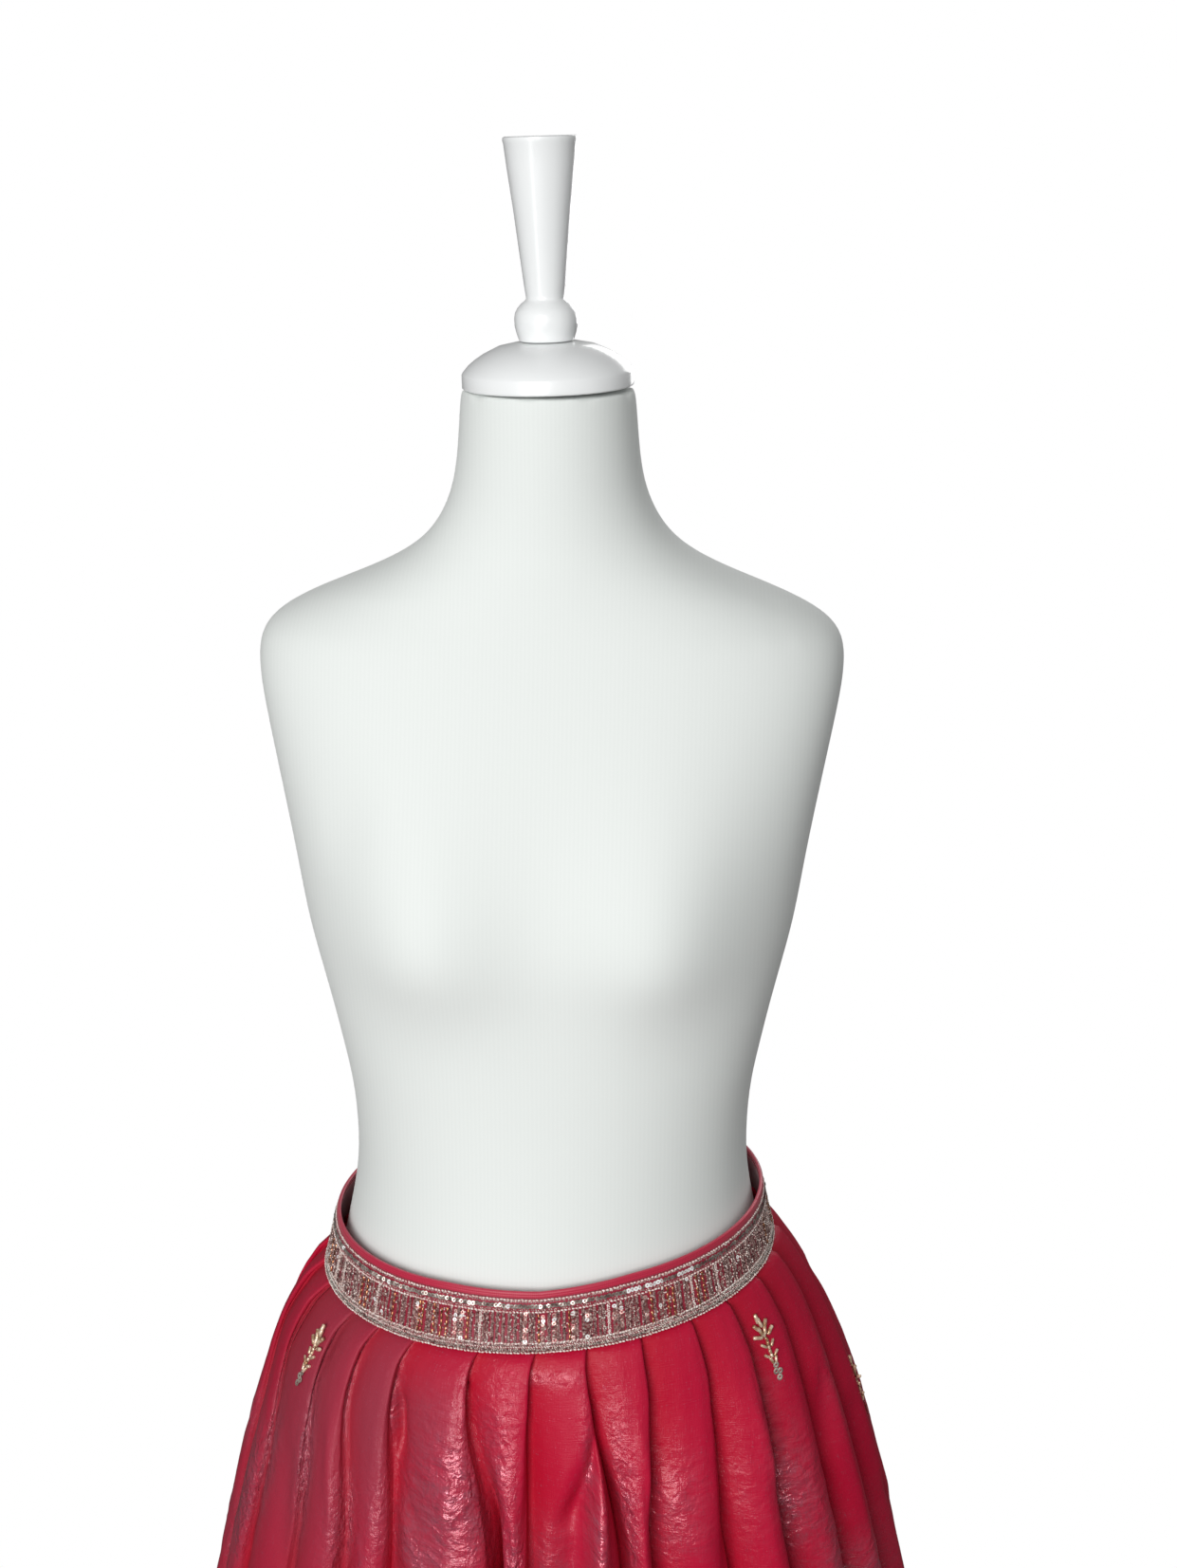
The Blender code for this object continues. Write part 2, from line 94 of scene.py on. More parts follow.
def deselect():
    bpy.ops.object.select_all(action="DESELECT")


def lerp(a, b, share):
    return a + (b - a) * share


def eased(share):
    share = min(1.0, max(0.0, share))
    return share * share * (3 - 2 * share)


# %% [markdown]
# ## Camera
# The photograph was taken from a little above the form's shoulder, looking down by about 18 degrees. The
# camera stands 1.22 m from the pole's axis and 4 degrees round to the right of the centre front, so the
# finial's top is level with the lens, the waistband shows as an open oval, and the frame cuts the skirt
# below the hip.

# %% Place the camera
CAMERA_DISTANCE = 1.2153
CAMERA_HEIGHT = 1.7333
CAMERA_TURN = math.radians(4.0)
CAMERA_PITCH = math.radians(18.1)
CAMERA_PAN = math.radians(-1.15)
LENS_MM = 45.7

lens = bpy.data.cameras.new("photo_camera")
lens.lens = LENS_MM
lens.sensor_width = 36.0
lens.clip_start = 0.01
camera = bpy.data.objects.new("photo_camera", lens)
bpy.context.scene.collection.objects.link(camera)
aim = Matrix.Rotation(CAMERA_PAN, 4, "Z") @ Matrix.Rotation(math.pi / 2 - CAMERA_PITCH, 4, "X")
stand_back = Matrix.Translation((0, -CAMERA_DISTANCE, CAMERA_HEIGHT))
camera.matrix_world = Matrix.Rotation(CAMERA_TURN, 4, "Z") @ stand_back @ aim
bpy.context.scene.camera = camera
print("camera at", [round(v, 3) for v in camera.matrix_world.translation])

# %% [markdown]
# ## Floor and light
# A product photograph on white: a matt floor disc, and a large soft box high in front, a little to the
# left, as the key. A weak fill stands on the right, a low narrow box on the left draws the glints along the
# folds, and a fourth lights the back for the other views. The camera sees a white world, and the cloth is
# lit by a dimmer one that is brighter above, so that its metal threads still have something dark to
# reflect.

# %% Floor
FLOOR_RADIUS = 0.86


def add_floor():
    deselect()
    bpy.ops.mesh.primitive_circle_add(vertices=128, radius=FLOOR_RADIUS, fill_type="NGON")
    floor = bpy.context.object
    floor.name = "floor"
    paint, tree, shader = new_material("matt white floor paint")
    set_inputs(tree, shader, Base_Color=to_linear("#FAFAFA"), Roughness=0.9)
    floor.data.materials.append(paint)


add_floor()
print("floor of", 2 * FLOOR_RADIUS, "m")

# %% World and soft boxes
SKY_ABOVE, SKY_BELOW = 0.30, 0.08
SoftBox = namedtuple("SoftBox", "name place target width height watts")
SOFT_BOXES = (
    SoftBox("key", (-0.6, -2.6, 2.1), (0, 0, 1.2), 1.5, 1.5, 60),
    SoftBox("fill", (2.3, -1.7, 1.7), (0, 0, 1.1), 1.2, 1.8, 2),
    SoftBox("low strip", (-1.0, -2.0, 1.0), (0, 0, 0.9), 0.4, 1.4, 6),
    SoftBox("back", (0.9, 2.6, 2.0), (0, 0, 1.0), 1.5, 1.5, 24),
)


def add_soft_box(name, place, target, width, height, watts):
    box = bpy.data.lights.new(name, "AREA")
    box.shape = "RECTANGLE"
    box.size, box.size_y = width, height
    box.energy = watts
    made = bpy.data.objects.new(name, box)
    made.location = place
    made.rotation_euler = (Vector(target) - Vector(place)).to_track_quat("-Z", "Y").to_euler()
    bpy.context.scene.collection.objects.link(made)


def add_world(above, below):
    """A sky that lights from above and is dim below the horizon, and that the camera sees as plain white."""
    world = bpy.data.worlds.new("studio")
    world.use_nodes = True
    tree = world.node_tree
    direction = add_node(tree, "TexCoord")
    height = add_node(tree, "SeparateXYZ", Vector=direction).node.outputs["Z"]
    level = add_node(tree, "MapRange", {"interpolation_type": "SMOOTHSTEP"}, Value=height,
                     From_Min=-0.25, From_Max=0.15, To_Min=below, To_Max=above)
    seen = add_node(tree, "LightPath")
    shown = add_node(tree, "Mix", {"data_type": "FLOAT"}, Factor=seen, A=level, B=1.0)
    set_inputs(tree, tree.nodes["Background"], Color=(1, 1, 1, 1), Strength=shown)
    bpy.context.scene.world = world


add_world(SKY_ABOVE, SKY_BELOW)
for soft_box in SOFT_BOXES:
    add_soft_box(*soft_box)
bpy.context.scene.view_settings.view_transform = "Standard"
print("a world and", len(SOFT_BOXES), "soft boxes")

# %% [markdown]
# ## The sizes that the cloth shares with the form
# The waistband and the tucked top of the skirt follow the form's waist, so a few of its level sections are
# repeated here. The band is worn slightly higher on the right. Below it, each ring of the skirt is given by
# its drop from the band: how far its folds reach, how deep they are and how far they have opened.

# %% Sizes of form, band and skirt
GAP = 0.0003
CLOTH = 0.0014
HEM_Z = 0.012
BAND_BOTTOM_Z = 1.006
BAND_TILT = math.radians(4.5)
BAND_HEIGHT = 0.0365
BAND_THICKNESS = 0.0022
FRONT_DIP = 0.0025
FRONT_DIP_ANGLE = math.radians(24)
FORM_CLEARANCE = 0.0005
SEWN_FOLD = 0.0036
TUCK = 0.010
TUCK_END = 0.0005
LAP_ANGLE = math.radians(6)
LAP_RISE_ANGLE = math.radians(34)
LAP_LIFT = 0.0038

BodySection = namedtuple("BodySection", "z half_width half_depth centre_y")
BODY = (
    BodySection(0.900, 0.1690, 0.1430, 0.000),
    BodySection(0.950, 0.1600, 0.1380, -0.001),
    BodySection(1.006, 0.1458, 0.1290, -0.002),
    BodySection(1.046, 0.1366, 0.1200, -0.002),
    BodySection(1.080, 0.1310, 0.1120, -0.001),
    BodySection(1.130, 0.1330, 0.1080, 0.000),
)

SkirtRing = namedtuple("SkirtRing", "drop half_width half_depth centre_x fold_depth stage")
SKIRT = (
    SkirtRing(0.004, 0.1580, 0.1395, -0.0020, 0.0046, 0.2),
    SkirtRing(0.014, 0.1680, 0.1460, -0.0045, 0.0072, 0.7),
    SkirtRing(0.040, 0.1840, 0.1580, -0.0050, 0.0120, 1.1),
    SkirtRing(0.080, 0.2010, 0.1735, -0.0030, 0.0180, 1.6),
    SkirtRing(0.140, 0.2215, 0.1940, -0.0010, 0.0250, 2.0),
    SkirtRing(0.240, 0.2465, 0.2200, 0.0000, 0.0325, 2.15),
    SkirtRing(0.400, 0.2810, 0.2530, 0.0000, 0.0385, 2.4),
    SkirtRing(0.690, 0.3430, 0.3120, 0.0000, 0.0390, 2.7),
    SkirtRing(0.994, 0.4050, 0.3700, 0.0000, 0.0350, 3.0),
)

print("skirt", SKIRT[-1].drop, "m long below its band")

# %% [markdown]
# ## The pleats
# A knife pleat is cloth folded flat to one side. Its section is drawn by eight points, each at a share
# across the pleat and a share of the fold's depth, at four stages: sewn under the band, pressed just below
# it, open, and at the hem. The front pleats' left edges are angles in degrees, measured on the photograph
# at three levels.

# %% Sections and places of the pleats
FoldPoint = namedtuple("FoldPoint", "sewn pressed open hem")
FOLD_SHAPE = (
    FoldPoint((0.020, 0.00), (0.030, 0.03), (0.050, 0.02), (0.030, 0.02)),
    FoldPoint((0.280, 0.36), (0.260, 0.42), (0.200, 0.40), (0.170, 0.34)),
    FoldPoint((0.570, 0.72), (0.550, 0.80), (0.390, 0.79), (0.330, 0.78)),
    FoldPoint((0.830, 0.97), (0.840, 1.00), (0.610, 1.00), (0.520, 1.00)),
    FoldPoint((0.920, 1.00), (0.980, 0.92), (0.810, 0.93), (0.700, 0.90)),
    FoldPoint((0.955, 0.72), (0.975, 0.65), (0.930, 0.64), (0.840, 0.56)),
    FoldPoint((0.975, 0.38), (0.925, 0.36), (0.955, 0.32), (0.910, 0.24)),
    FoldPoint((0.990, 0.08), (0.940, 0.09), (0.980, 0.07), (0.965, 0.05)),
)

Fold = namedtuple("Fold", "at_band below at_hem depth")
FRONT_FOLDS = (
    Fold(-72.0, -66.0, -68.0, 0.95),
    Fold(-53.9, -48.5, -53.0, 1.05),
    Fold(-43.4, -36.8, -39.5, 0.85),
    Fold(-31.6, -27.3, -27.0, 1.10),
    Fold(-13.9, -6.6, -13.5, 0.70),
    Fold(-0.1, -1.1, 0.5, 1.00),
    Fold(12.1, 16.5, 13.5, 0.90),
    Fold(25.6, 21.1, 26.0, 0.75),
    Fold(39.7, 36.6, 38.5, 1.00),
    Fold(51.9, 48.3, 52.0, 0.85),
)
RIGHT_FOLDS = 8
BACK_FOLDS = 8
FOLD_LEVELS = (0.0, 0.14, 0.994)
WANDER_DEGREES = 1.6
DEPTH_FROM, DEPTH_TO = 0.85, 1.12


def spread_folds():
    """The folds that the front shows, then even ones round both sides to the centre back."""
    rng = random.Random(26)
    folds = list(FRONT_FOLDS)
    last = folds[-1]
    for i in range(RIGHT_FOLDS):
        share = (i + 1) / (RIGHT_FOLDS + 1)
        wander = rng.uniform(-WANDER_DEGREES, WANDER_DEGREES)
        levels = [lerp(start, 180.0, share) for start in (last.at_band, last.below, last.at_hem)]
        depth = rng.uniform(DEPTH_FROM, DEPTH_TO)
        folds.append(Fold(levels[0], levels[1] + wander, levels[2] - wander, depth))
    first = folds[0]
    for i in range(BACK_FOLDS):
        share = i / BACK_FOLDS
        wander = rng.uniform(-WANDER_DEGREES, WANDER_DEGREES) if i else 0.0
        levels = [lerp(180.0, end + 360.0, share) for end in (first.at_band, first.below, first.at_hem)]
        depth = rng.uniform(DEPTH_FROM, DEPTH_TO)
        folds.append(Fold(levels[0], levels[1] + wander, levels[2] - wander, depth))
    return folds


FOLDS = spread_folds()
BACK_SEAM = len(FRONT_FOLDS) + RIGHT_FOLDS
FRONT_END = len(FRONT_FOLDS) - 1
print(len(FOLDS), "knife pleats")

# %% Rings between the rows of the tables
def table_at(rows, key, value):
    """A row of the table worked out between its two nearest rows."""
    low = rows[0]
    for high in rows[1:]:
        if getattr(high, key) >= value:
            break
        low = high
    span = getattr(high, key) - getattr(low, key)
    share = min(1.0, max(0.0, (value - getattr(low, key)) / span)) if span else 0.0
    return type(low)(*(lerp(a, b, share) for a, b in zip(low, high)))


def ring_at(drop):
    """The skirt's ring at any drop, on a smooth curve through the table's rows."""
    rows = SKIRT
    i = max(0, min(len(rows) - 2, sum(row.drop <= drop for row in rows) - 1))
    around = [rows[max(i - 1, 0)], rows[i], rows[i + 1], rows[min(i + 2, len(rows) - 1)]]
    t = (drop - rows[i].drop) / (rows[i + 1].drop - rows[i].drop)
    values = []
    for before, start, end, after in zip(*around):
        span = rows[i + 1].drop - rows[i].drop
        left = (end - before) / max(around[2].drop - around[0].drop, 1e-9) * span
        right = (after - start) / max(around[3].drop - around[1].drop, 1e-9) * span
        a = 2 * start - 2 * end + left + right
        b = -3 * start + 3 * end - 2 * left - right
        values.append(((a * t + b) * t + left) * t + start)
    values[0] = drop
    return SkirtRing(*values)


def ring_point(half_width, half_depth, centre_y, angle):
    """A point of a level oval, with the angle measured from the front towards +X."""
    return half_width * math.sin(angle), centre_y - half_depth * math.cos(angle)


def ring_normal(half_width, half_depth, angle):
    x, y = math.sin(angle) / half_width, -math.cos(angle) / half_depth
    size = math.hypot(x, y)
    return x / size, y / size


def band_bottom_z(x):
    return BAND_BOTTOM_Z + x * math.tan(BAND_TILT)


print("waist", round(2 * table_at(BODY, "z", BAND_BOTTOM_Z).half_width, 3), "m wide at the band's lower edge")

# %% A point of the cloth
UNEVEN_FROM = 0.05


def fold_edge(index, drop):
    """The angle in degrees of a fold's left edge at that drop below the band."""
    turns, k = divmod(index, len(FOLDS))
    fold = FOLDS[k]
    top, middle, bottom = FOLD_LEVELS
    if drop <= middle:
        angle = lerp(fold.at_band, fold.below, eased((drop - top) / (middle - top)))
    else:
        angle = lerp(fold.below, fold.at_hem, (drop - middle) / (bottom - middle))
    return angle + 360.0 * turns


def skirt_point(index, i, ring):
    """Control point i of a fold, in the middle of the cloth."""
    stage = max(0.0, ring.stage)
    low = min(int(stage), len(FoldPoint._fields) - 2)
    before, after = FOLD_SHAPE[i][low], FOLD_SHAPE[i][low + 1]
    across = lerp(before[0], after[0], stage - low)
    out = lerp(before[1], after[1], stage - low)
    angle = math.radians(lerp(fold_edge(index, ring.drop), fold_edge(index + 1, ring.drop), across))
    tucked = ring.drop <= TUCK_END
    if tucked:
        body = table_at(BODY, "z", BAND_BOTTOM_Z - ring.drop)
        body = table_at(BODY, "z", band_bottom_z(body.half_width * math.sin(angle)) - ring.drop)
        clear = FORM_CLEARANCE + CLOTH / 2
        half_width, half_depth, centre_y = body.half_width + clear, body.half_depth + clear, body.centre_y
        depth = ring.fold_depth
    else:
        half_width, half_depth = ring.half_width - ring.fold_depth, ring.half_depth - ring.fold_depth
        centre_y = table_at(BODY, "z", BAND_BOTTOM_Z).centre_y
        uneven = min(1.0, ring.drop / UNEVEN_FROM)
        depth = ring.fold_depth * lerp(1.0, FOLDS[index % len(FOLDS)].depth, uneven)
    x, y = ring_point(half_width, half_depth, centre_y, angle)
    nx, ny = ring_normal(half_width, half_depth, angle)
    x, y = x + ring.centre_x + nx * depth * out, y + ny * depth * out
    top = band_bottom_z(x)
    fall = ring.drop if tucked else ring.drop * (top - HEM_Z) / (BAND_BOTTOM_Z - HEM_Z)
    return x, y, top - fall, out


print("first point of the hem", [round(v, 3) for v in skirt_point(0, 0, SKIRT[-1])[:3]])

# %% [markdown]
# ## The dress form
# A form is a papier-mache or foam body under a tight jersey cover, closed at the neck by a turned wooden
# cap and finial. Its solid is already right but faceted, so a copy of it is merged, turned back into quads
# and subdivided. That keeps every size and gives the smooth, stuffed look of the cover.

# %% Smooth torso
MERGE_DISTANCE = 0.00002
QUAD_ANGLE = math.radians(60)


def smooth_torso():
    deselect()
    solid = bpy.data.objects["form_torso"]
    torso = solid.copy()
    torso.data = solid.data.copy()
    torso.name = "jersey_torso"
    torso.data.materials.clear()
    bpy.context.scene.collection.objects.link(torso)
    torso.parent = None
    bpy.context.view_layer.objects.active = torso
    torso.select_set(True)
    bpy.ops.object.mode_set(mode="EDIT")
    bpy.ops.mesh.select_all(action="SELECT")
    bpy.ops.mesh.remove_doubles(threshold=MERGE_DISTANCE)
    bpy.ops.mesh.tris_convert_to_quads(face_threshold=QUAD_ANGLE, shape_threshold=QUAD_ANGLE)
    bpy.ops.mesh.normals_make_consistent(inside=False)
    bpy.ops.object.mode_set(mode="OBJECT")
    rounding = torso.modifiers.new("Rounding", "SUBSURF")
    rounding.levels = rounding.render_levels = 2
    bpy.ops.object.modifier_apply(modifier="Rounding")
    bpy.ops.object.shade_smooth()
    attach(torso, "root")
    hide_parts("form_torso")
    return torso


torso = smooth_torso()
print("torso with", len(torso.data.polygons), "faces")

# %% [markdown]
# ## Cap and finial
# Both are turned on a lathe: a profile swept round an axis. By hand this is a circle that is extruded
# upwards and scaled at each step of the profile. They sit a little askew on the neck, as they do in the
# photograph.

# %% Turned wood
NECK_TOP_Z = 1.5865
NECK_Y = 0.002
CAP_TILT = math.radians(-1.6)
CAP_RADIUS = 0.052
SHARP_EDGE = math.radians(35)
TurnedStep = namedtuple("TurnedStep", "radius height")
CAP_PROFILE = (
    TurnedStep(0.0512, 0.0000),
    TurnedStep(0.0520, 0.0008),
    TurnedStep(0.0520, 0.0084),
    TurnedStep(0.0516, 0.0092),
    TurnedStep(0.0505, 0.0106),
    TurnedStep(0.0480, 0.0134),
    TurnedStep(0.0440, 0.0166),
    TurnedStep(0.0390, 0.0198),
    TurnedStep(0.0300, 0.0241),
    TurnedStep(0.0200, 0.0262),
    TurnedStep(0.0100, 0.0268),
)
FINIAL_PROFILE = (
    TurnedStep(0.0158, 0.0000),
    TurnedStep(0.0166, 0.0006),
    TurnedStep(0.0180, 0.0050),
    TurnedStep(0.0189, 0.0090),
    TurnedStep(0.0190, 0.0130),
    TurnedStep(0.0185, 0.0165),
    TurnedStep(0.0170, 0.0192),
    TurnedStep(0.0148, 0.0218),
    TurnedStep(0.0128, 0.0232),
    TurnedStep(0.0117, 0.0242),
    TurnedStep(0.0115, 0.0250),
    TurnedStep(0.0117, 0.0270),
    TurnedStep(0.0124, 0.0320),
    TurnedStep(0.0146, 0.0520),
    TurnedStep(0.0172, 0.0760),
    TurnedStep(0.0202, 0.1000),
    TurnedStep(0.0216, 0.1130),
    TurnedStep(0.0221, 0.1146),
    TurnedStep(0.0219, 0.1162),
    TurnedStep(0.0208, 0.1168),
)


def turned(name, profile, place, node, sides=96):
    """A circle extruded up a lathe profile, closed above and below, tilted and set in its place."""
    deselect()
    first = profile[0]
    bpy.ops.mesh.primitive_circle_add(vertices=sides, radius=first.radius, fill_type="NGON")
    made = bpy.context.object
    made.name = name
    bpy.ops.object.mode_set(mode="EDIT")
    bpy.ops.mesh.select_all(action="SELECT")
    for before, after in zip(profile, profile[1:]):
        rise = after.height - before.height
        bpy.ops.mesh.extrude_region_move(TRANSFORM_OT_translate={"value": (0, 0, rise)})
        scale = after.radius / before.radius
        bpy.ops.transform.resize(value=(scale, scale, 1))
    bpy.ops.mesh.select_all(action="SELECT")
    bpy.ops.mesh.normals_make_consistent(inside=False)
    bpy.ops.object.mode_set(mode="OBJECT")
    made.data.transform(Matrix.Translation(place) @ Matrix.Rotation(CAP_TILT, 4, "Y"))
    bpy.ops.object.shade_smooth_by_angle(angle=SHARP_EDGE)
    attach(made, "root")
    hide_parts(node)
    return made


lift = GAP + CAP_RADIUS * math.sin(abs(CAP_TILT))
cap_place = Vector((0, NECK_Y, NECK_TOP_Z + lift))
cap_height = CAP_PROFILE[-1].height + GAP
finial_place = cap_place + cap_height * Vector((math.sin(CAP_TILT), 0, math.cos(CAP_TILT)))
cap = turned("painted_cap", CAP_PROFILE, cap_place, "neck_cap")
finial = turned("painted_finial", FINIAL_PROFILE, finial_place, "finial")
print("finial top at", round(max(v.co.z for v in finial.data.vertices), 4))

# %% [markdown]
# ## The pleated cloth
# The skirt is three widths of cloth, pleated into the band. Each row of the cloth is a closed curve through
# the folds' control points, and the rows run from behind the band to the hem. The curve keeps flat faces
# and crisp edges near the band, where the pleats are pressed, and rounds them below.

# %% A curve through the folds
SAMPLES = 4


def through(points, samples, pressed):
    """A closed centripetal Catmull-Rom curve through the points, flattened between them where pressed."""
    p1 = np.asarray(points)
    p0, p2, p3 = np.roll(p1, 1, 0), np.roll(p1, -1, 0), np.roll(p1, -2, 0)

    def knot(a, b):
        return np.sqrt(np.linalg.norm((b - a)[:, :3], axis=1, keepdims=True)) + 1e-6

    t1 = knot(p0, p1)
    t2 = t1 + knot(p1, p2)
    t3 = t2 + knot(p2, p3)
    made = []
    for k in range(samples):
        t = t1 + (t2 - t1) * k / samples
        a1 = p0 * (t1 - t) / t1 + p1 * t / t1
        a2 = p1 * (t2 - t) / (t2 - t1) + p2 * (t - t1) / (t2 - t1)
        a3 = p2 * (t3 - t) / (t3 - t2) + p3 * (t - t2) / (t3 - t2)
        b1 = a1 * (t2 - t) / t2 + a2 * t / t2
        b2 = a2 * (t3 - t) / (t3 - t1) + a3 * (t - t1) / (t3 - t1)
        curved = b1 * (t2 - t) / (t2 - t1) + b2 * (t - t1) / (t2 - t1)
        made.append(lerp(curved, lerp(p1, p2, k / samples), pressed))
    return np.stack(made, 1).reshape(-1, p1.shape[1])


print(SAMPLES, "points of the cloth between two points of a fold")

# %% Rows of cloth from the folds
FIRST_DROPS = (-TUCK, TUCK_END, 0.002, 0.004, 0.007, 0.0105, 0.014)
FINE_ROWS_TO = 0.24
FINE_STEP = 0.0034
LONG_STEP = 0.0125
PRESSED_AT_BAND = 0.75
PRESSED_BELOW = 0.20
PRESSED_TO = 0.16


def cloth_drops():
    """The drops of the rows: close together where the photograph looks, and wider towards the hem."""
    drops = list(FIRST_DROPS)
    while drops[-1] < SKIRT[-1].drop - 0.5 * LONG_STEP:
        drops.append(drops[-1] + (FINE_STEP if drops[-1] < FINE_ROWS_TO else LONG_STEP))
    drops[-1] = SKIRT[-1].drop
    return drops


def ring_points(ring):
    return np.array([skirt_point(k, i, ring) for k in range(len(FOLDS)) for i in range(len(FOLD_SHAPE))])


def cloth_row(drop):
    """One row of the cloth: behind the band, in the short step out from under it, or below it."""
    if drop <= TUCK_END:
        points = ring_points(SkirtRing(drop, 0, 0, 0, SEWN_FOLD, 0.0))
    elif drop < SKIRT[0].drop:
        share = (drop - TUCK_END) / (SKIRT[0].drop - TUCK_END)
        points = lerp(ring_points(SkirtRing(TUCK_END, 0, 0, 0, SEWN_FOLD, 0.0)), ring_points(SKIRT[0]), share)
    else:
        points = ring_points(ring_at(drop))
    return through(points, SAMPLES, lerp(PRESSED_AT_BAND, PRESSED_BELOW, eased(drop / PRESSED_TO)))


DROPS = np.array(cloth_drops())
smooth_cloth = np.stack([cloth_row(drop) for drop in DROPS])
COLUMNS = smooth_cloth.shape[1]
PER_FOLD = len(FOLD_SHAPE) * SAMPLES
crest = np.clip(smooth_cloth[:, :, 3], 0, 1)
smooth_cloth = smooth_cloth[:, :, :3]
print("cloth of", len(DROPS), "rows and", COLUMNS, "columns")

# %% [markdown]
# ## Creases and crumple
# A skirt of crushed tissue is never smooth. Creases are given in the cloth's own measure: a place counted
# in folds from the first one, and a drop. Each is a soft ridge or trough with a width and a height,
# strongest in the middle and fading to both ends. The deep ones near the fifth and the fourth fold are
# openings between two pleats.

# %% Creases that show
Crease = namedtuple("Crease", "fold drop to_fold to_drop width height")
FRONT_CREASES = (
    Crease(3.02, 0.030, 3.04, 0.075, 0.0035, -0.0060),
    Crease(2.93, 0.030, 2.90, 0.060, 0.0030, 0.0030),
    Crease(2.00, 0.006, 1.93, 0.040, 0.0030, 0.0020),
    Crease(3.50, 0.009, 3.95, 0.014, 0.0032, -0.0030),
    Crease(3.62, 0.020, 3.98, 0.022, 0.0032, -0.0034),
    Crease(3.66, 0.015, 3.97, 0.017, 0.0024, 0.0024),
    Crease(3.40, 0.074, 3.34, 0.100, 0.0040, 0.0030),
    Crease(3.09, 0.096, 3.19, 0.140, 0.0040, 0.0032),
    Crease(3.50, 0.050, 3.80, 0.110, 0.0060, -0.0026),
    Crease(3.60, 0.110, 3.85, 0.165, 0.0060, 0.0030),
    Crease(4.20, 0.060, 4.45, 0.120, 0.0050, 0.0028),
    Crease(4.65, 0.070, 4.40, 0.150, 0.0050, -0.0032),
    Crease(5.27, 0.060, 5.24, 0.210, 0.0045, 0.0040),
    Crease(5.56, 0.046, 5.24, 0.112, 0.0045, -0.0110),
    Crease(5.31, 0.078, 5.22, 0.260, 0.0060, -0.0210),
    Crease(5.56, 0.046, 5.42, 0.130, 0.0024, 0.0080),
    Crease(5.45, 0.095, 5.40, 0.250, 0.0026, 0.0090),
    Crease(5.76, 0.050, 5.68, 0.220, 0.0085, -0.0080),
    Crease(4.08, 0.074, 4.00, 0.240, 0.0055, -0.0150),
    Crease(4.17, 0.092, 4.22, 0.220, 0.0030, 0.0060),
    Crease(6.05, 0.030, 6.10, 0.180, 0.0040, 0.0040),
    Crease(6.35, 0.050, 6.70, 0.110, 0.0050, 0.0024),
    Crease(6.75, 0.060, 6.50, 0.140, 0.0050, -0.0030),
    Crease(7.05, 0.080, 7.40, 0.140, 0.0050, 0.0028),
    Crease(7.75, 0.090, 7.50, 0.170, 0.0050, -0.0030),
    Crease(7.55, 0.020, 8.10, 0.120, 0.0035, 0.0024),
    Crease(8.30, 0.050, 8.60, 0.120, 0.0050, 0.0024),
    Crease(1.35, 0.050, 1.60, 0.130, 0.0050, 0.0024),
    Crease(0.78, 0.066, 0.72, 0.115, 0.0040, 0.0030),
    Crease(3.00, 0.075, 3.04, 0.230, 0.0090, 0.0060),
    Crease(0.35, 0.080, 0.55, 0.170, 0.0060, -0.0030),
)
print(len(FRONT_CREASES), "creases placed by hand")

# %% [markdown]
# Where the cloth has been crushed it is crumpled, glossy and pale; its pale colour is partly the metal strip
# and partly painted highlight. The mauve where two layers lie over each other, as on the left folds, is
# painted sheen. Both are places with soft edges.

# %% Crushed places and painted sheen that show
Place = namedtuple("Place", "fold drop across down strength")
# The crushed places are set where highlights fall, so their pale colour is partly painted highlight.
FRONT_CRUSHES = (
    Place(3.45, 0.085, 0.42, 0.050, 1.0),
    Place(3.20, 0.120, 0.30, 0.030, 0.9),
    Place(3.65, 0.018, 0.25, 0.012, 0.6),
    Place(4.20, 0.080, 0.22, 0.055, 0.8),
    Place(4.35, 0.125, 0.20, 0.030, 1.0),
    Place(5.12, 0.135, 0.20, 0.030, 0.6),
    Place(5.43, 0.100, 0.06, 0.060, 1.0),
    Place(6.18, 0.105, 0.16, 0.060, 0.9),
    Place(5.00, 0.016, 0.50, 0.005, 0.5),
    Place(7.15, 0.110, 0.24, 0.035, 0.6),
    Place(7.60, 0.040, 0.10, 0.040, 0.3),
    Place(8.15, 0.120, 0.25, 0.050, 0.25),
    Place(0.80, 0.085, 0.25, 0.045, 1.0),
    Place(1.85, 0.035, 0.12, 0.040, 0.7),
    Place(1.70, 0.125, 0.25, 0.040, 0.7),
    Place(2.90, 0.035, 0.12, 0.030, 0.9),
    Place(2.55, 0.110, 0.30, 0.040, 0.5),
    Place(25.45, 0.155, 0.30, 0.050, 1.0),
    Place(25.75, 0.110, 0.20, 0.050, 1.0),
    Place(0.10, 0.120, 0.14, 0.050, 0.9),
    Place(1.04, 0.100, 0.12, 0.050, 1.0),
    Place(2.04, 0.120, 0.12, 0.040, 0.9),
)
# Painted sheen: mauve laid on the left folds.
FRONT_PAINTED_SHEEN = (
    Place(0.80, 0.060, 1.30, 0.140, 0.9),
    Place(2.35, 0.050, 0.45, 0.080, 0.9),
    Place(3.25, 0.040, 0.30, 0.030, 0.6),
    Place(3.30, 0.110, 0.25, 0.050, 0.5),
)
print(len(FRONT_CRUSHES), "crushed and", len(FRONT_PAINTED_SHEEN), "dusty places set by hand")

# %% More of them where the photograph doesn't look
# Counts of painted sheen places, crushed places and creases for the sides that don't show.
HIDDEN_PAINTED_SHEEN = 24
HIDDEN_CRUSHES = 46
HIDDEN_CREASES = 46
LOW_CREASES = 60


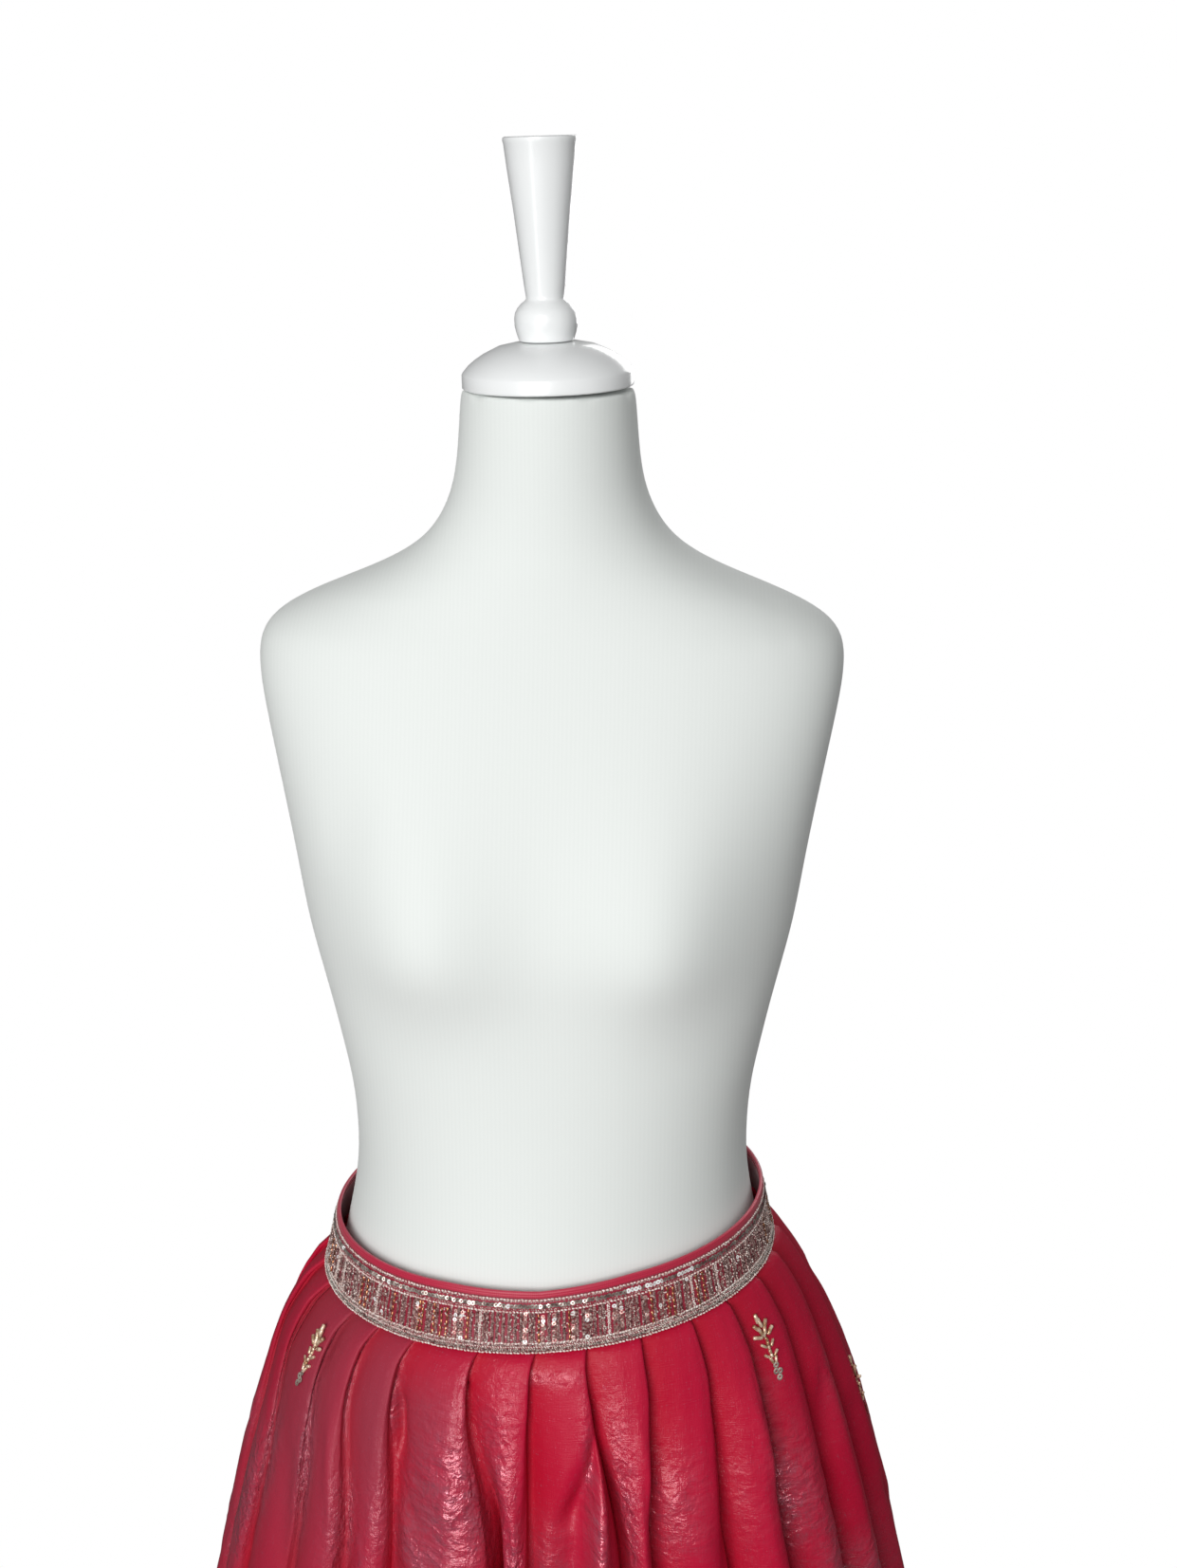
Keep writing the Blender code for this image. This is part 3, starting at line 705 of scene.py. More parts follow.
def more_creases():
    """Creases like those that show, for the other sides and for the cloth below the photograph's edge."""
    rng = random.Random(7)
    made = list(FRONT_CREASES)
    side_fold = len(FRONT_FOLDS) - 0.6
    for i in range(HIDDEN_CREASES):
        fold = rng.uniform(side_fold, len(FOLDS) - 2.5)
        drop = rng.uniform(0.03, 0.24)
        side = rng.choice((-1, 1))
        to_fold, to_drop = fold + side * rng.uniform(0.2, 0.4), drop + rng.uniform(0.03, 0.08)
        width, height = rng.uniform(0.005, 0.008), rng.choice((-1, 1)) * rng.uniform(0.003, 0.0048)
        made.append(Crease(fold, drop, to_fold, to_drop, width, height))
    for i in range(LOW_CREASES):
        fold = rng.uniform(0, len(FOLDS))
        drop = rng.uniform(0.26, 0.88)
        to_fold, to_drop = fold + rng.uniform(-0.5, 0.5), drop + rng.uniform(0.05, 0.16)
        width, height = rng.uniform(0.009, 0.014), rng.choice((-1, 1)) * rng.uniform(0.003, 0.006)
        made.append(Crease(fold, drop, to_fold, to_drop, width, height))
    return made


def more_crushes():
    """Crushed places like those that show, all round and down to the hem."""
    rng = random.Random(17)
    made = list(FRONT_CRUSHES)
    for i in range(HIDDEN_CRUSHES):
        fold = rng.uniform(len(FRONT_FOLDS) - 1.4, len(FOLDS) - 0.8)
        made.append(Place(fold, rng.uniform(0.04, 0.24), rng.uniform(0.15, 0.35), rng.uniform(0.025, 0.055),
                          rng.uniform(0.5, 1.0)))
    for i in range(HIDDEN_CRUSHES * 2):
        made.append(Place(rng.uniform(0, len(FOLDS)), rng.uniform(0.19, 0.93), rng.uniform(0.2, 0.5),
                          rng.uniform(0.04, 0.09), rng.uniform(0.5, 1.0)))
    return made


def more_painted_sheen():
    """Mauve painted sheen like that on the left folds, on the sides that the photograph doesn't show."""
    rng = random.Random(23)
    made = list(FRONT_PAINTED_SHEEN)
    for i in range(HIDDEN_PAINTED_SHEEN):
        if i % 3 == 0:
            fold, drop = rng.uniform(len(FRONT_FOLDS), len(FOLDS) - 0.8), rng.uniform(0.03, 0.20)
            made.append(Place(fold, drop, rng.uniform(0.4, 1.1), rng.uniform(0.06, 0.14),
                              rng.uniform(0.5, 0.9)))
        else:
            fold, drop = rng.uniform(0, len(FOLDS)), rng.uniform(0.28, 0.9)
            made.append(Place(fold, drop, rng.uniform(0.9, 2.2), rng.uniform(0.14, 0.26),
                              rng.uniform(0.2, 0.45)))
    return made


print(len(more_creases()), "creases,", len(more_crushes()), "crushed and", len(more_painted_sheen()), "dusty in all")

# %% How far each point lies in a place
def folds_off(across, fold):
    """How many folds apart two places are, the short way round."""
    return (across - fold + len(FOLDS) / 2) % len(FOLDS) - len(FOLDS) / 2


def share_of(places):
    """How far each point of the cloth lies in one of the places, from 0 to 1."""
    across = np.arange(COLUMNS)[None, :] / PER_FOLD
    share = np.zeros((len(DROPS), COLUMNS))
    for place in places:
        off = folds_off(across, place.fold)
        near = (off / place.across) ** 2 + ((DROPS[:, None] - place.drop) / place.down) ** 2
        share = np.maximum(share, place.strength * np.exp(-near))
    return share


crushed = share_of(more_crushes())
# How far each point lies in the painted sheen places.
painted_sheen = share_of(more_painted_sheen())
print("crushed", round(100 * crushed.mean()), "percent and dusty", round(100 * painted_sheen.mean()), "percent")

# %% Relief of the creases
FOLD_METRES = 0.052
CREASE_FADE = 0.42


def crease_relief():
    """The height that all creases add at each point of the cloth."""
    across = np.broadcast_to(np.arange(COLUMNS) / PER_FOLD * FOLD_METRES, (len(DROPS), COLUMNS))
    down = np.broadcast_to(DROPS[:, None], (len(DROPS), COLUMNS))
    relief = np.zeros_like(down)
    for crease in more_creases():
        start = np.array([crease.fold * FOLD_METRES, crease.drop])
        run = np.array([crease.to_fold * FOLD_METRES, crease.to_drop]) - start
        length = np.linalg.norm(run)
        along = ((across - start[0]) * run[0] + (down - start[1]) * run[1]) / length ** 2
        off = ((across - start[0]) * run[1] - (down - start[1]) * run[0]) / length
        fade = np.exp(-((along - 0.5) / CREASE_FADE) ** 4)
        relief += crease.height * fade * np.exp(-(off / crease.width) ** 2)
    return relief


creases = crease_relief() * np.clip(DROPS / 0.02, 0, 1)[:, None]
print("creases from", round(creases.min() * 1000, 1), "to", round(creases.max() * 1000, 1), "mm")

# %% [markdown]
# The pleats on the left of the photograph are softer than the others. Filling their valleys, while their
# crests stay where they are, keeps the skirt's outline. The fill fades out towards other folds and towards
# the hem.

# %% Soft folds on the left
SOFT_SHARE = 0.62
SOFT_MIDDLE = 25.5
SOFT_FOLDS = 3.7
SOFT_TO = 0.24
SOFT_BELOW = 0.45


def soft_relief():
    """What fills the valleys of the soft folds on the left, without moving their crests."""
    off = folds_off(np.arange(COLUMNS) / PER_FOLD, SOFT_MIDDLE)
    beside = np.array([1 - eased((abs(value) / SOFT_FOLDS - 0.5) / 0.5) for value in off])
    down = np.array([eased(drop / 0.05) * (1 - eased((drop - SOFT_TO) / (SOFT_BELOW - SOFT_TO)))
                     for drop in DROPS])
    depths = np.array([ring_at(max(drop, SKIRT[0].drop)).fold_depth for drop in DROPS])
    return SOFT_SHARE * beside[None, :] * (down * depths)[:, None] * (1 - crest)


filled = soft_relief()
print("valleys filled by up to", round(filled.max() * 1000, 1), "mm")

# %% The cloth with its buckles and crumple
BUCKLE, DENT, FINE = 0.0012, 0.0016, 0.0008
RIDGE_LEVEL = 0.30
ROUGH_PLAIN, ROUGH_CRUSHED = 0.25, 1.1


def crumple_at(place, drop, crushed_here):
    """The height of buckle, dents and fine crumple at a point, from noise in space."""
    p = Vector(place)
    slow = noise.noise(Vector((p.x * 15, p.y * 15, p.z * 8)))
    ridge = RIDGE_LEVEL - abs(noise.noise(Vector((p.x * 42 + 9, p.y * 42, p.z * 34))))
    small = RIDGE_LEVEL - abs(noise.noise(Vector((p.x * 105, p.y * 105 + 5, p.z * 100))))
    rough = eased(drop / 0.02) * (ROUGH_PLAIN + ROUGH_CRUSHED * crushed_here)
    return eased(drop / 0.09) * BUCKLE * slow + rough * (DENT * ridge + FINE * small)


def crumple_relief(points):
    """The crumple of the whole cloth, in which layers that lie together move together."""
    relief = np.zeros(points.shape[:2])
    for r, drop in enumerate(DROPS):
        if drop >= SKIRT[0].drop:
            relief[r] = [crumple_at(points[r, c], drop, crushed[r, c]) for c in range(points.shape[1])]
    return relief


relief = crumple_relief(smooth_cloth) + creases + filled
outwards = smooth_cloth[:, :, :2] / np.linalg.norm(smooth_cloth[:, :, :2], axis=2, keepdims=True)
cloth = smooth_cloth.copy()
cloth[:, :, :2] += outwards * relief[:, :, None]
print("relief from", round(relief.min() * 1000, 1), "to", round(relief.max() * 1000, 1), "mm")

# %% [markdown]
# Each width of cloth is its own sheet, a thin shell with a UV map in metres of flat cloth, so that the
# weave's threads stay the same size and follow the folds. Between the widths lies the same small gap as in
# the solids.

# %% One sheet of cloth
FLAT_WIDTH = 3.10
SHELL = 0.0009


def new_piece(name, points, faces):
    """A new mesh object from points and faces, active and selected alone."""
    mesh = bpy.data.meshes.new(name)
    mesh.from_pydata(points, [], faces)
    made = bpy.data.objects.new(name, mesh)
    bpy.context.scene.collection.objects.link(made)
    deselect()
    bpy.context.view_layer.objects.active = made
    made.select_set(True)
    return made


def cloth_panel(name, node, first, last):
    """One width of cloth between two folds, as a thin closed shell."""
    start = first * PER_FOLD
    count = (last - first) * PER_FOLD + 1
    columns = [(start + i) % COLUMNS for i in range(count)]
    points = cloth[:, columns].copy()
    for edge, inner in ((0, 1), (-1, -2)):
        step = points[:, inner] - points[:, edge]
        points[:, edge] += step / np.linalg.norm(step, axis=1, keepdims=True) * GAP
    rows = len(DROPS)
    faces = [(r * count + i, (r + 1) * count + i, (r + 1) * count + i + 1, r * count + i + 1)
             for r in range(rows - 1) for i in range(count - 1)]
    panel = new_piece(name, points.reshape(-1, 3).tolist(), faces)
    mesh = panel.data
    across = (start + np.arange(count)) / COLUMNS * FLAT_WIDTH
    flat = np.stack(np.broadcast_arrays(across[None, :], -DROPS[:, None]), 2).reshape(-1, 2)
    corners = np.empty(len(mesh.loops), dtype=np.int32)
    mesh.loops.foreach_get("vertex_index", corners)
    mesh.uv_layers.new(name="flat_cloth").data.foreach_set("uv", flat[corners].ravel())
    # The third attribute carries the painted sheen.
    for attribute, values in (("crest", crest), ("crushed", crushed), ("painted_sheen", painted_sheen)):
        mesh.attributes.new(attribute, "FLOAT", "POINT").data.foreach_set("value", values[:, columns].ravel())
    thickness = panel.modifiers.new("Thickness", "SOLIDIFY")
    thickness.thickness = SHELL
    thickness.offset = 0.0
    bpy.ops.object.modifier_apply(modifier="Thickness")
    bpy.ops.object.shade_smooth()
    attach(panel, "root")
    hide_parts(node)
    area = sum(f.area for f in panel.data.polygons) / 2
    width = FLAT_WIDTH * (last - first) / len(FOLDS)
    print(name, len(panel.data.polygons), "faces, measured", round(area, 3), "m2, cut", round(width, 2), "m")
    return panel, width


# %% Three widths of cloth
panels = [
    cloth_panel("organza_front", "skirt_front", 0, FRONT_END),
    cloth_panel("organza_back_left", "skirt_back_left", FRONT_END, BACK_SEAM),
    cloth_panel("organza_back_right", "skirt_back_right", BACK_SEAM, len(FOLDS)),
]

# %% [markdown]
# ## The waistband
# The band is a straight strip of the same crimson cloth over buckram. It lies outside the sewn tops of the
# pleats, and its ends lap over each other at the centre back. A folded facing shows above it as a double
# lip. Both are swept along the same curve, which is worked out from the form's waist.

# %% A place on the band
PIPING_BOTTOM = BAND_HEIGHT + GAP
BAND_STANDS_OFF = FORM_CLEARANCE + CLOTH + SEWN_FOLD + GAP + 0.0002


def front_dip(angle):
    """The band's two halves meet at the centre front in a shallow corner."""
    off_front = abs((angle + math.pi) % math.tau - math.pi)
    return FRONT_DIP * max(0.0, 1.0 - off_front / FRONT_DIP_ANGLE)


def band_point(angle, height, proud):
    """A point at a height above the band's lower edge, proud of the band's inner face."""
    rise_from = math.tau - LAP_ANGLE - LAP_RISE_ANGLE
    lap = LAP_LIFT * eased((angle + math.pi - rise_from) / LAP_RISE_ANGLE)
    body = table_at(BODY, "z", BAND_BOTTOM_Z + height)
    x = body.half_width * math.sin(angle)
    z = band_bottom_z(x) + height - front_dip(angle) * height / BAND_HEIGHT
    body = table_at(BODY, "z", z)
    out = BAND_STANDS_OFF + lap + proud
    x, y = ring_point(body.half_width, body.half_depth, body.centre_y, angle)
    nx, ny = ring_normal(body.half_width, body.half_depth, angle)
    return Vector((x + nx * out, y + ny * out, z))


BAND_START, BAND_END = -math.pi - LAP_ANGLE, math.pi + LAP_ANGLE
BAND_SAMPLES = 720
band_angles = np.linspace(BAND_START, BAND_END, BAND_SAMPLES + 1)
middle_line = np.array([band_point(a, BAND_HEIGHT / 2, BAND_THICKNESS) for a in band_angles])
band_length = np.concatenate([[0], np.cumsum(np.linalg.norm(np.diff(middle_line, axis=0), axis=1))])
BAND_LENGTH = float(band_length[-1])


def band_place(distance, height, proud=0.0):
    """A matrix on the band's outer face: x along it, y up it and z out of it."""
    angle = float(np.interp(distance, band_length, band_angles))
    here = band_point(angle, height, BAND_THICKNESS + proud)
    before, after = [band_point(angle + turn, height, BAND_THICKNESS) for turn in (-0.004, 0.004)]
    below, above = [band_point(angle, height + rise, BAND_THICKNESS) for rise in (-0.002, 0.002)]
    along = after - before
    up = above - below
    along.normalize()
    out = along.cross(up).normalized()
    up = out.cross(along)
    place = Matrix((along, up, out)).transposed().to_4x4()
    place.translation = here
    return place


print("band", round(BAND_LENGTH, 3), "m long with its lap")

# %% Band cloth and folded lip
def swept(name, section, node, columns=360):
    """A bar along the band, from the (height, proud) pairs of its section."""
    angles = [lerp(BAND_START, BAND_END, i / columns) for i in range(columns + 1)]
    points = [band_point(a, height, proud) for a in angles for height, proud in section]
    n = len(section)
    faces = []
    for i in range(columns):
        for k in range(n):
            m = (k + 1) % n
            faces.append((i * n + k, (i + 1) * n + k, (i + 1) * n + m, i * n + m))
    faces += [tuple(range(n)), tuple(columns * n + k for k in reversed(range(n)))]
    made = new_piece(name, points, faces)
    flat = made.data.uv_layers.new(name="flat_cloth")
    for loop in made.data.loops:
        column, k = divmod(loop.vertex_index, n)
        flat.data[loop.index].uv = (column / columns * BAND_LENGTH, section[k][0])
    bpy.ops.object.mode_set(mode="EDIT")
    bpy.ops.mesh.select_all(action="SELECT")
    bpy.ops.mesh.normals_make_consistent(inside=False)
    bpy.ops.object.mode_set(mode="OBJECT")
    bpy.ops.object.shade_smooth_by_angle(angle=math.radians(50))
    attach(made, "root")
    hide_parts(node)
    return made


def lip_section():
    """Two soft rolls, one above the other: the folded facing and the edge that it is turned over."""
    radius, centre = 0.00118, 0.0016
    lower = [(radius * math.sin(a), centre + radius * math.cos(a))
             for a in np.radians((-140, -90, -40, 0, 40))]
    upper = [(radius * math.sin(a), centre + radius * math.cos(a)) for a in np.radians((-35, 0, 45, 90, 135))]
    first, second = PIPING_BOTTOM + 0.0010, PIPING_BOTTOM + 0.0031
    front = [(first + up, out) for up, out in lower] + [(second + up, out) for up, out in upper]
    back = [(PIPING_BOTTOM + 0.0038, 0.0003), (PIPING_BOTTOM + 0.0004, 0.0003)]
    return front + back


BAND_SECTION = ((0.0, 0.0), (0.0, 0.0020), (0.0006, 0.0024), (0.006, 0.0026), (0.0068, 0.0023),
                (0.018, 0.0024), (0.0272, 0.0023), (0.028, 0.0026), (0.0352, 0.0026), (0.0364, 0.0022),
                (0.0364, 0.0))
band_cloth = swept("band_cloth", BAND_SECTION, "waistband")
lip = swept("folded_lip", lip_section(), "waistband_piping")
print("band cloth", len(band_cloth.data.polygons), "faces, lip", len(lip.data.polygons))

# %% [markdown]
# ## Bead and zari work
# Zari cord is a cotton core wound with silver-grey metal strip. It is laid in rows along both borders,
# between scalloped rows of pale thread. Between the borders stand short upright columns of zari, stacked
# sequins and rose-gold bugle beads, with narrow slits of crimson cloth and loose seed beads. Each kind is
# modelled once from a primitive and copied, and every copy leans its own way, which makes real handwork
# glitter unevenly.

# %% One sequin, one bead and one stitch
def keep_shape():
    """The points and faces of the active object, which is then removed."""
    made = bpy.context.object
    points = np.array([v.co for v in made.data.vertices])
    faces = [tuple(f.vertices) for f in made.data.polygons]
    bpy.data.objects.remove(made)
    return points, faces


def make_sequin(radius):
    """A small flat ring of film that lies in the xy plane."""
    deselect()
    bpy.ops.mesh.primitive_torus_add(major_segments=8, minor_segments=4, major_radius=radius * 0.63,
                                     minor_radius=radius * 0.37)
    bpy.ops.transform.resize(value=(1, 1, 0.32))
    bpy.ops.object.transform_apply(location=False, rotation=False, scale=True)
    return keep_shape()


def make_bead(radius, length):
    """A bugle bead that lies along y, narrowed a little at both ends."""
    deselect()
    bpy.ops.mesh.primitive_cylinder_add(vertices=7, radius=radius, depth=length, rotation=(math.pi / 2, 0, 0))
    bpy.ops.object.transform_apply(location=False, rotation=True, scale=False)
    bpy.ops.object.mode_set(mode="EDIT")
    bpy.ops.mesh.select_all(action="SELECT")
    bpy.ops.mesh.bevel(offset=radius * 0.3, segments=1, affect="EDGES")
    bpy.ops.object.mode_set(mode="OBJECT")
    return keep_shape()


def make_stitch(length, width):
    """One pass of cord: a small spindle that lies along y."""
    deselect()
    bpy.ops.mesh.primitive_ico_sphere_add(subdivisions=1, radius=1.0)
    bpy.ops.transform.resize(value=(width / 2, length / 2, width / 2.4))
    bpy.ops.object.transform_apply(location=False, rotation=False, scale=True)
    return keep_shape()


sequin = make_sequin(0.00165)
small_sequin = make_sequin(0.00145)
bugle = make_bead(0.00078, 0.0036)
stitch = make_stitch(0.0022, 0.0010)
thread = make_stitch(0.0021, 0.0009)
scallop = make_stitch(0.0026, 0.0014)
seed_bead = make_stitch(0.0013, 0.0011)
print("a sequin has", len(sequin[1]), "faces, a bead", len(bugle[1]), "and a stitch", len(stitch[1]))

# %% Copies of one shape as one piece
def scattered(name, placed, sharp_from=0):
    """One mesh that holds a copy of each shape at each of its places."""
    points, faces, base = [], [], 0
    for (shape_points, shape_faces), place in placed:
        turn = np.array(place.to_3x3())
        points.append(shape_points @ turn.T + np.array(place.translation))
        faces += [tuple(base + v for v in face) for face in shape_faces]
        base += len(shape_points)
    made = new_piece(name, np.concatenate(points).tolist(), faces)
    if sharp_from:
        bpy.ops.object.shade_smooth_by_angle(angle=math.radians(sharp_from))
    else:
        bpy.ops.object.shade_smooth()
    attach(made, "root")
    print(name, len(placed), "copies,", len(faces), "faces")
    return made


def leaning(rng, degrees):
    """A small turn about the two axes that lie in the cloth."""
    tilt = Matrix.Rotation(math.radians(rng.uniform(-degrees, degrees)), 4, "X")
    return tilt @ Matrix.Rotation(math.radians(rng.uniform(-degrees, degrees)), 4, "Y")


print("each copy gets its own place and lean")

# %% Rows of zari along both borders
ROW_START = 0.0015
ROW_WANDER = 0.00018
ROW_SUNK = 0.0004
CORD_LEAN = 30
BorderRow = namedtuple("BorderRow", "height proud shape pitch slant")
ZARI_ROWS = (
    BorderRow(0.0020, 0.0009, stitch, 0.0013, 42),
    BorderRow(0.0031, 0.0009, stitch, 0.0013, -42),
    BorderRow(0.0055, 0.0009, stitch, 0.0013, -42),
    BorderRow(0.0290, 0.0006, stitch, 0.0014, 40),
    BorderRow(0.0346, 0.0006, stitch, 0.0014, -40),
)
PALE_ROWS = (
    BorderRow(0.0007, 0.0012, scallop, 0.0022, 80),
    BorderRow(0.0043, 0.0010, thread, 0.0016, 60),
    BorderRow(0.0068, 0.0010, scallop, 0.0021, -76),
    BorderRow(0.0277, 0.0008, scallop, 0.0023, 76),
    BorderRow(0.0357, 0.0008, scallop, 0.0024, 80),
)


def border_row(row, rng):
    placed = []
    distance = ROW_START
    while distance < BAND_LENGTH - 0.001:
        wander = rng.uniform(-ROW_WANDER, ROW_WANDER)
        slant = Matrix.Rotation(math.radians(row.slant + rng.uniform(-14, 14)), 4, "Z")
        lift = row.proud - ROW_SUNK + rng.uniform(-0.00012, 0.00012)
        place = band_place(distance, row.height + wander, lift)
        placed.append((row.shape, place @ leaning(rng, CORD_LEAN) @ slant))
        distance += row.pitch * rng.uniform(0.9, 1.1)
    return placed


rng = random.Random(11)
zari_work = [copy for row in ZARI_ROWS for copy in border_row(row, rng)]
pale_work = [copy for row in PALE_ROWS for copy in border_row(row, rng)]
print(len(zari_work), "stitches of zari and", len(pale_work), "of pale thread in the borders")

# %% The ladder of upright columns
LADDER_BOTTOM, LADDER_TOP = 0.0080, 0.0270
COLUMN_PITCH = 0.00225
COLUMN_LIFT = 0.0004
LADDER = ("chain", "pale chain", "sequins", "bugles")
LADDER_WEIGHTS = (8, 1, 2.4, 2.4)
LADDER_STEPS = (1.0, 1.1, 1.45, 1.7)
LOOSE_SEEDS = 2000
# The share of ladder sequins made white as painted glints.
PAINTED_GLINT_SHARE = 0.12
ladder_zari, ladder_pale, ladder_sequins, ladder_beads = [], [], [], []


def upright(distance, shape, pitch, lean, slant, store, start=0.0):
    """A column of one shape from the lower border to the upper one."""
    height = LADDER_BOTTOM + start
    while height < LADDER_TOP:
        side = rng.uniform(-0.0002, 0.0002)
        place = band_place(distance + side, height, COLUMN_LIFT + rng.uniform(-0.0001, 0.0002))
        turn = Matrix.Rotation(math.radians(slant + rng.uniform(-8, 8)), 4, "Z")
        store.append((shape, place @ leaning(rng, lean) @ turn))
        height += pitch * rng.uniform(0.92, 1.1)


def upright_chain(distance, shape, store):
    """Chain stitch: two rows that lean together, like knitting."""
    upright(distance - 0.0005, shape, 0.0014, CORD_LEAN, -32, store)
    upright(distance + 0.0005, shape, 0.0014, CORD_LEAN, 32, store, 0.0003)


print("columns", round(1000 * (LADDER_TOP - LADDER_BOTTOM)), "mm tall")

# %% Columns and loose seeds along the band
distance = 0.004
number = 0
while distance < BAND_LENGTH - COLUMN_PITCH:
    kind = rng.choices(LADDER, LADDER_WEIGHTS)[0]
    if kind == "bugles":
        upright(distance, bugle, 0.0040, 7, 4, ladder_beads, rng.uniform(0, 0.001))
    elif kind == "sequins":
        upright(distance, rng.choice((sequin, small_sequin)), 0.0027, 18, 0, ladder_sequins)
    elif kind == "chain":
        upright_chain(distance, stitch, ladder_zari)
    elif kind == "pale chain":
        upright_chain(distance, thread, ladder_pale)
    distance += COLUMN_PITCH * rng.choice(LADDER_STEPS)
    number += 1
for i in range(LOOSE_SEEDS):
    place = band_place(rng.uniform(0.003, BAND_LENGTH - 0.003), rng.uniform(LADDER_BOTTOM, LADDER_TOP),
                       0.0009)
    rng.choice((ladder_zari, ladder_pale)).append((seed_bead, place @ leaning(rng, CORD_LEAN)))
# Painted glints: a share of the ladder's sequins are made white.
rng.shuffle(ladder_sequins)
painted_glint_count = round(PAINTED_GLINT_SHARE * len(ladder_sequins))
painted_glint_sequins, ladder_sequins = ladder_sequins[:painted_glint_count], ladder_sequins[painted_glint_count:]
print(number, "columns in the ladder")

# %% [markdown]
# Along the top border the sequins overlap like roof tiles. Most are smoked silver, and a few runs are
# bright white, the longest of them to the right of the centre front. A run is a pair of lengths along the
# band.

# %% Overlapping sequins above
WHITE_RUNS = ((0.4450, 0.4480), (0.5245, 0.5330), (0.5375, 0.5500), (0.5600, 0.5720), (0.300, 0.3030),
              (0.3560, 0.3590), (0.1120, 0.1240), (0.7000, 0.7140), (0.8360, 0.8400))
SEQUIN_HEIGHT, SEQUIN_LIFT, SEQUIN_PITCH = 0.0318, 0.0007, 0.0026
TILE_TILT = math.radians(13)
smoked_sequins, white_sequins = [], []
distance = 0.002
while distance < BAND_LENGTH - 0.002:
    height = SEQUIN_HEIGHT + rng.uniform(-0.0003, 0.0003)
    place = band_place(distance, height, SEQUIN_LIFT + rng.uniform(0, 0.0003))
    tile = Matrix.Rotation(TILE_TILT, 4, "Y") @ leaning(rng, 18)
    white = any(start <= distance <= end for start, end in WHITE_RUNS)
    (white_sequins if white else smoked_sequins).append((sequin, place @ tile))
    distance += SEQUIN_PITCH
print(len(smoked_sequins), "smoked and", len(white_sequins), "white sequins in the row")

# %% The band's trims as pieces
SHARP_BEADS = 40
border_piece = scattered("border_zari", zari_work)
ladder_piece = scattered("ladder_zari", ladder_zari)
pale_piece = scattered("pale_thread", pale_work + ladder_pale)
sequin_piece = scattered("ladder_sequins", ladder_sequins, SHARP_BEADS)
smoked_piece = scattered("smoked_sequins", smoked_sequins, SHARP_BEADS)
# The white piece also holds the ladder's painted glints.
white_piece = scattered("white_sequins", white_sequins + painted_glint_sequins, SHARP_BEADS)
bead_piece = scattered("bugle_beads", ladder_beads, SHARP_BEADS)

# %% [markdown]
# ## Sprigs on the skirt
# Small sprigs, called butis, are scattered over the cloth: gold bugle petals, a beaded stem with small
# leaves, and a tail of sequins. They are sewn through the cloth, so each one is set square to the cloth
# where it lies. Two show just below the band, and staggered rows follow all round.

# %% Where the sprigs go
Sprig = namedtuple("Sprig", "fold drop lean")
SHOWN_SPRIGS = (
    Sprig(0.36, 0.036, -7),
    Sprig(9.24, 0.040, 8),
)
SPRIG_ROWS = (0.105, 0.315, 0.520, 0.725)
SPRIGS_A_ROW = 9


def sprig_spots():
    """The sprigs that show, then staggered rows on the crests all round."""
    rng = random.Random(3)
    spots = list(SHOWN_SPRIGS)
    for number, drop in enumerate(SPRIG_ROWS):
        for i in range(SPRIGS_A_ROW):
            fold = (i + 0.5 * (number % 2)) * len(FOLDS) / SPRIGS_A_ROW + rng.uniform(-0.3, 0.3)
            fold = round(fold) + rng.uniform(0.48, 0.60)
            hidden = number > 0 or 10.0 < fold < len(FOLDS) - 1.0
            if hidden:
                spots.append(Sprig(fold, drop + rng.uniform(-0.02, 0.02), rng.uniform(-12, 12)))
    return spots


def cloth_place(fold, drop, lean):
    """A matrix on the cloth's outer face: x across the fold, y up it and z out of it."""
    column = int(fold * PER_FOLD) % COLUMNS
    row = int(np.argmin(np.abs(DROPS - drop)))
    here = Vector(cloth[row, column])
    above, below = max(row - 3, 1), min(row + 3, len(DROPS) - 1)
    up = Vector(smooth_cloth[above, column]) - Vector(smooth_cloth[below, column])
    across = Vector(smooth_cloth[row, (column + 3) % COLUMNS]) - Vector(smooth_cloth[row, column - 3])
    up.normalize()
    out = across.cross(up).normalized()
    across = up.cross(out)
    place = Matrix((across, up, out)).transposed().to_4x4()
    place.translation = here + out * (SHELL / 2 + 0.0004)
    return place @ Matrix.Rotation(math.radians(lean), 4, "Z")


spots = sprig_spots()
print(len(spots), "sprigs, the first at", [round(v, 3) for v in cloth_place(*spots[0]).translation])

# %% One sprig
SprigPart = namedtuple("SprigPart", "shape x y turn")
petal = make_bead(0.00140, 0.0066)
leaf = make_bead(0.00110, 0.0048)
seed = make_bead(0.00120, 0.0026)
tail_sequin = make_sequin(0.0023)
GOLD_PARTS = (
    SprigPart(petal, 0.0000, 0.0205, 0),
    SprigPart(petal, -0.0010, 0.0236, 8),
    SprigPart(petal, -0.0036, 0.0178, 34),
    SprigPart(petal, 0.0036, 0.0178, -34),
    SprigPart(petal, -0.0054, 0.0122, 62),
    SprigPart(petal, 0.0054, 0.0122, -62),
    SprigPart(petal, -0.0018, 0.0148, 14),
    SprigPart(petal, 0.0018, 0.0148, -14),
    SprigPart(seed, 0.0000, 0.0112, 0),
    SprigPart(seed, 0.0004, 0.0084, 8),
    SprigPart(seed, 0.0002, 0.0056, -6),
    SprigPart(seed, -0.0002, 0.0028, 4),
    SprigPart(leaf, -0.0034, 0.0052, 46),
    SprigPart(leaf, 0.0036, 0.0042, -46),
    SprigPart(seed, -0.0004, 0.0000, 0),
    SprigPart(leaf, -0.0038, -0.0020, 52),
    SprigPart(leaf, 0.0034, -0.0028, -50),
    SprigPart(seed, -0.0003, -0.0030, 6),
    SprigPart(leaf, -0.0016, -0.0062, 20),
    SprigPart(leaf, 0.0016, -0.0066, -16),
)
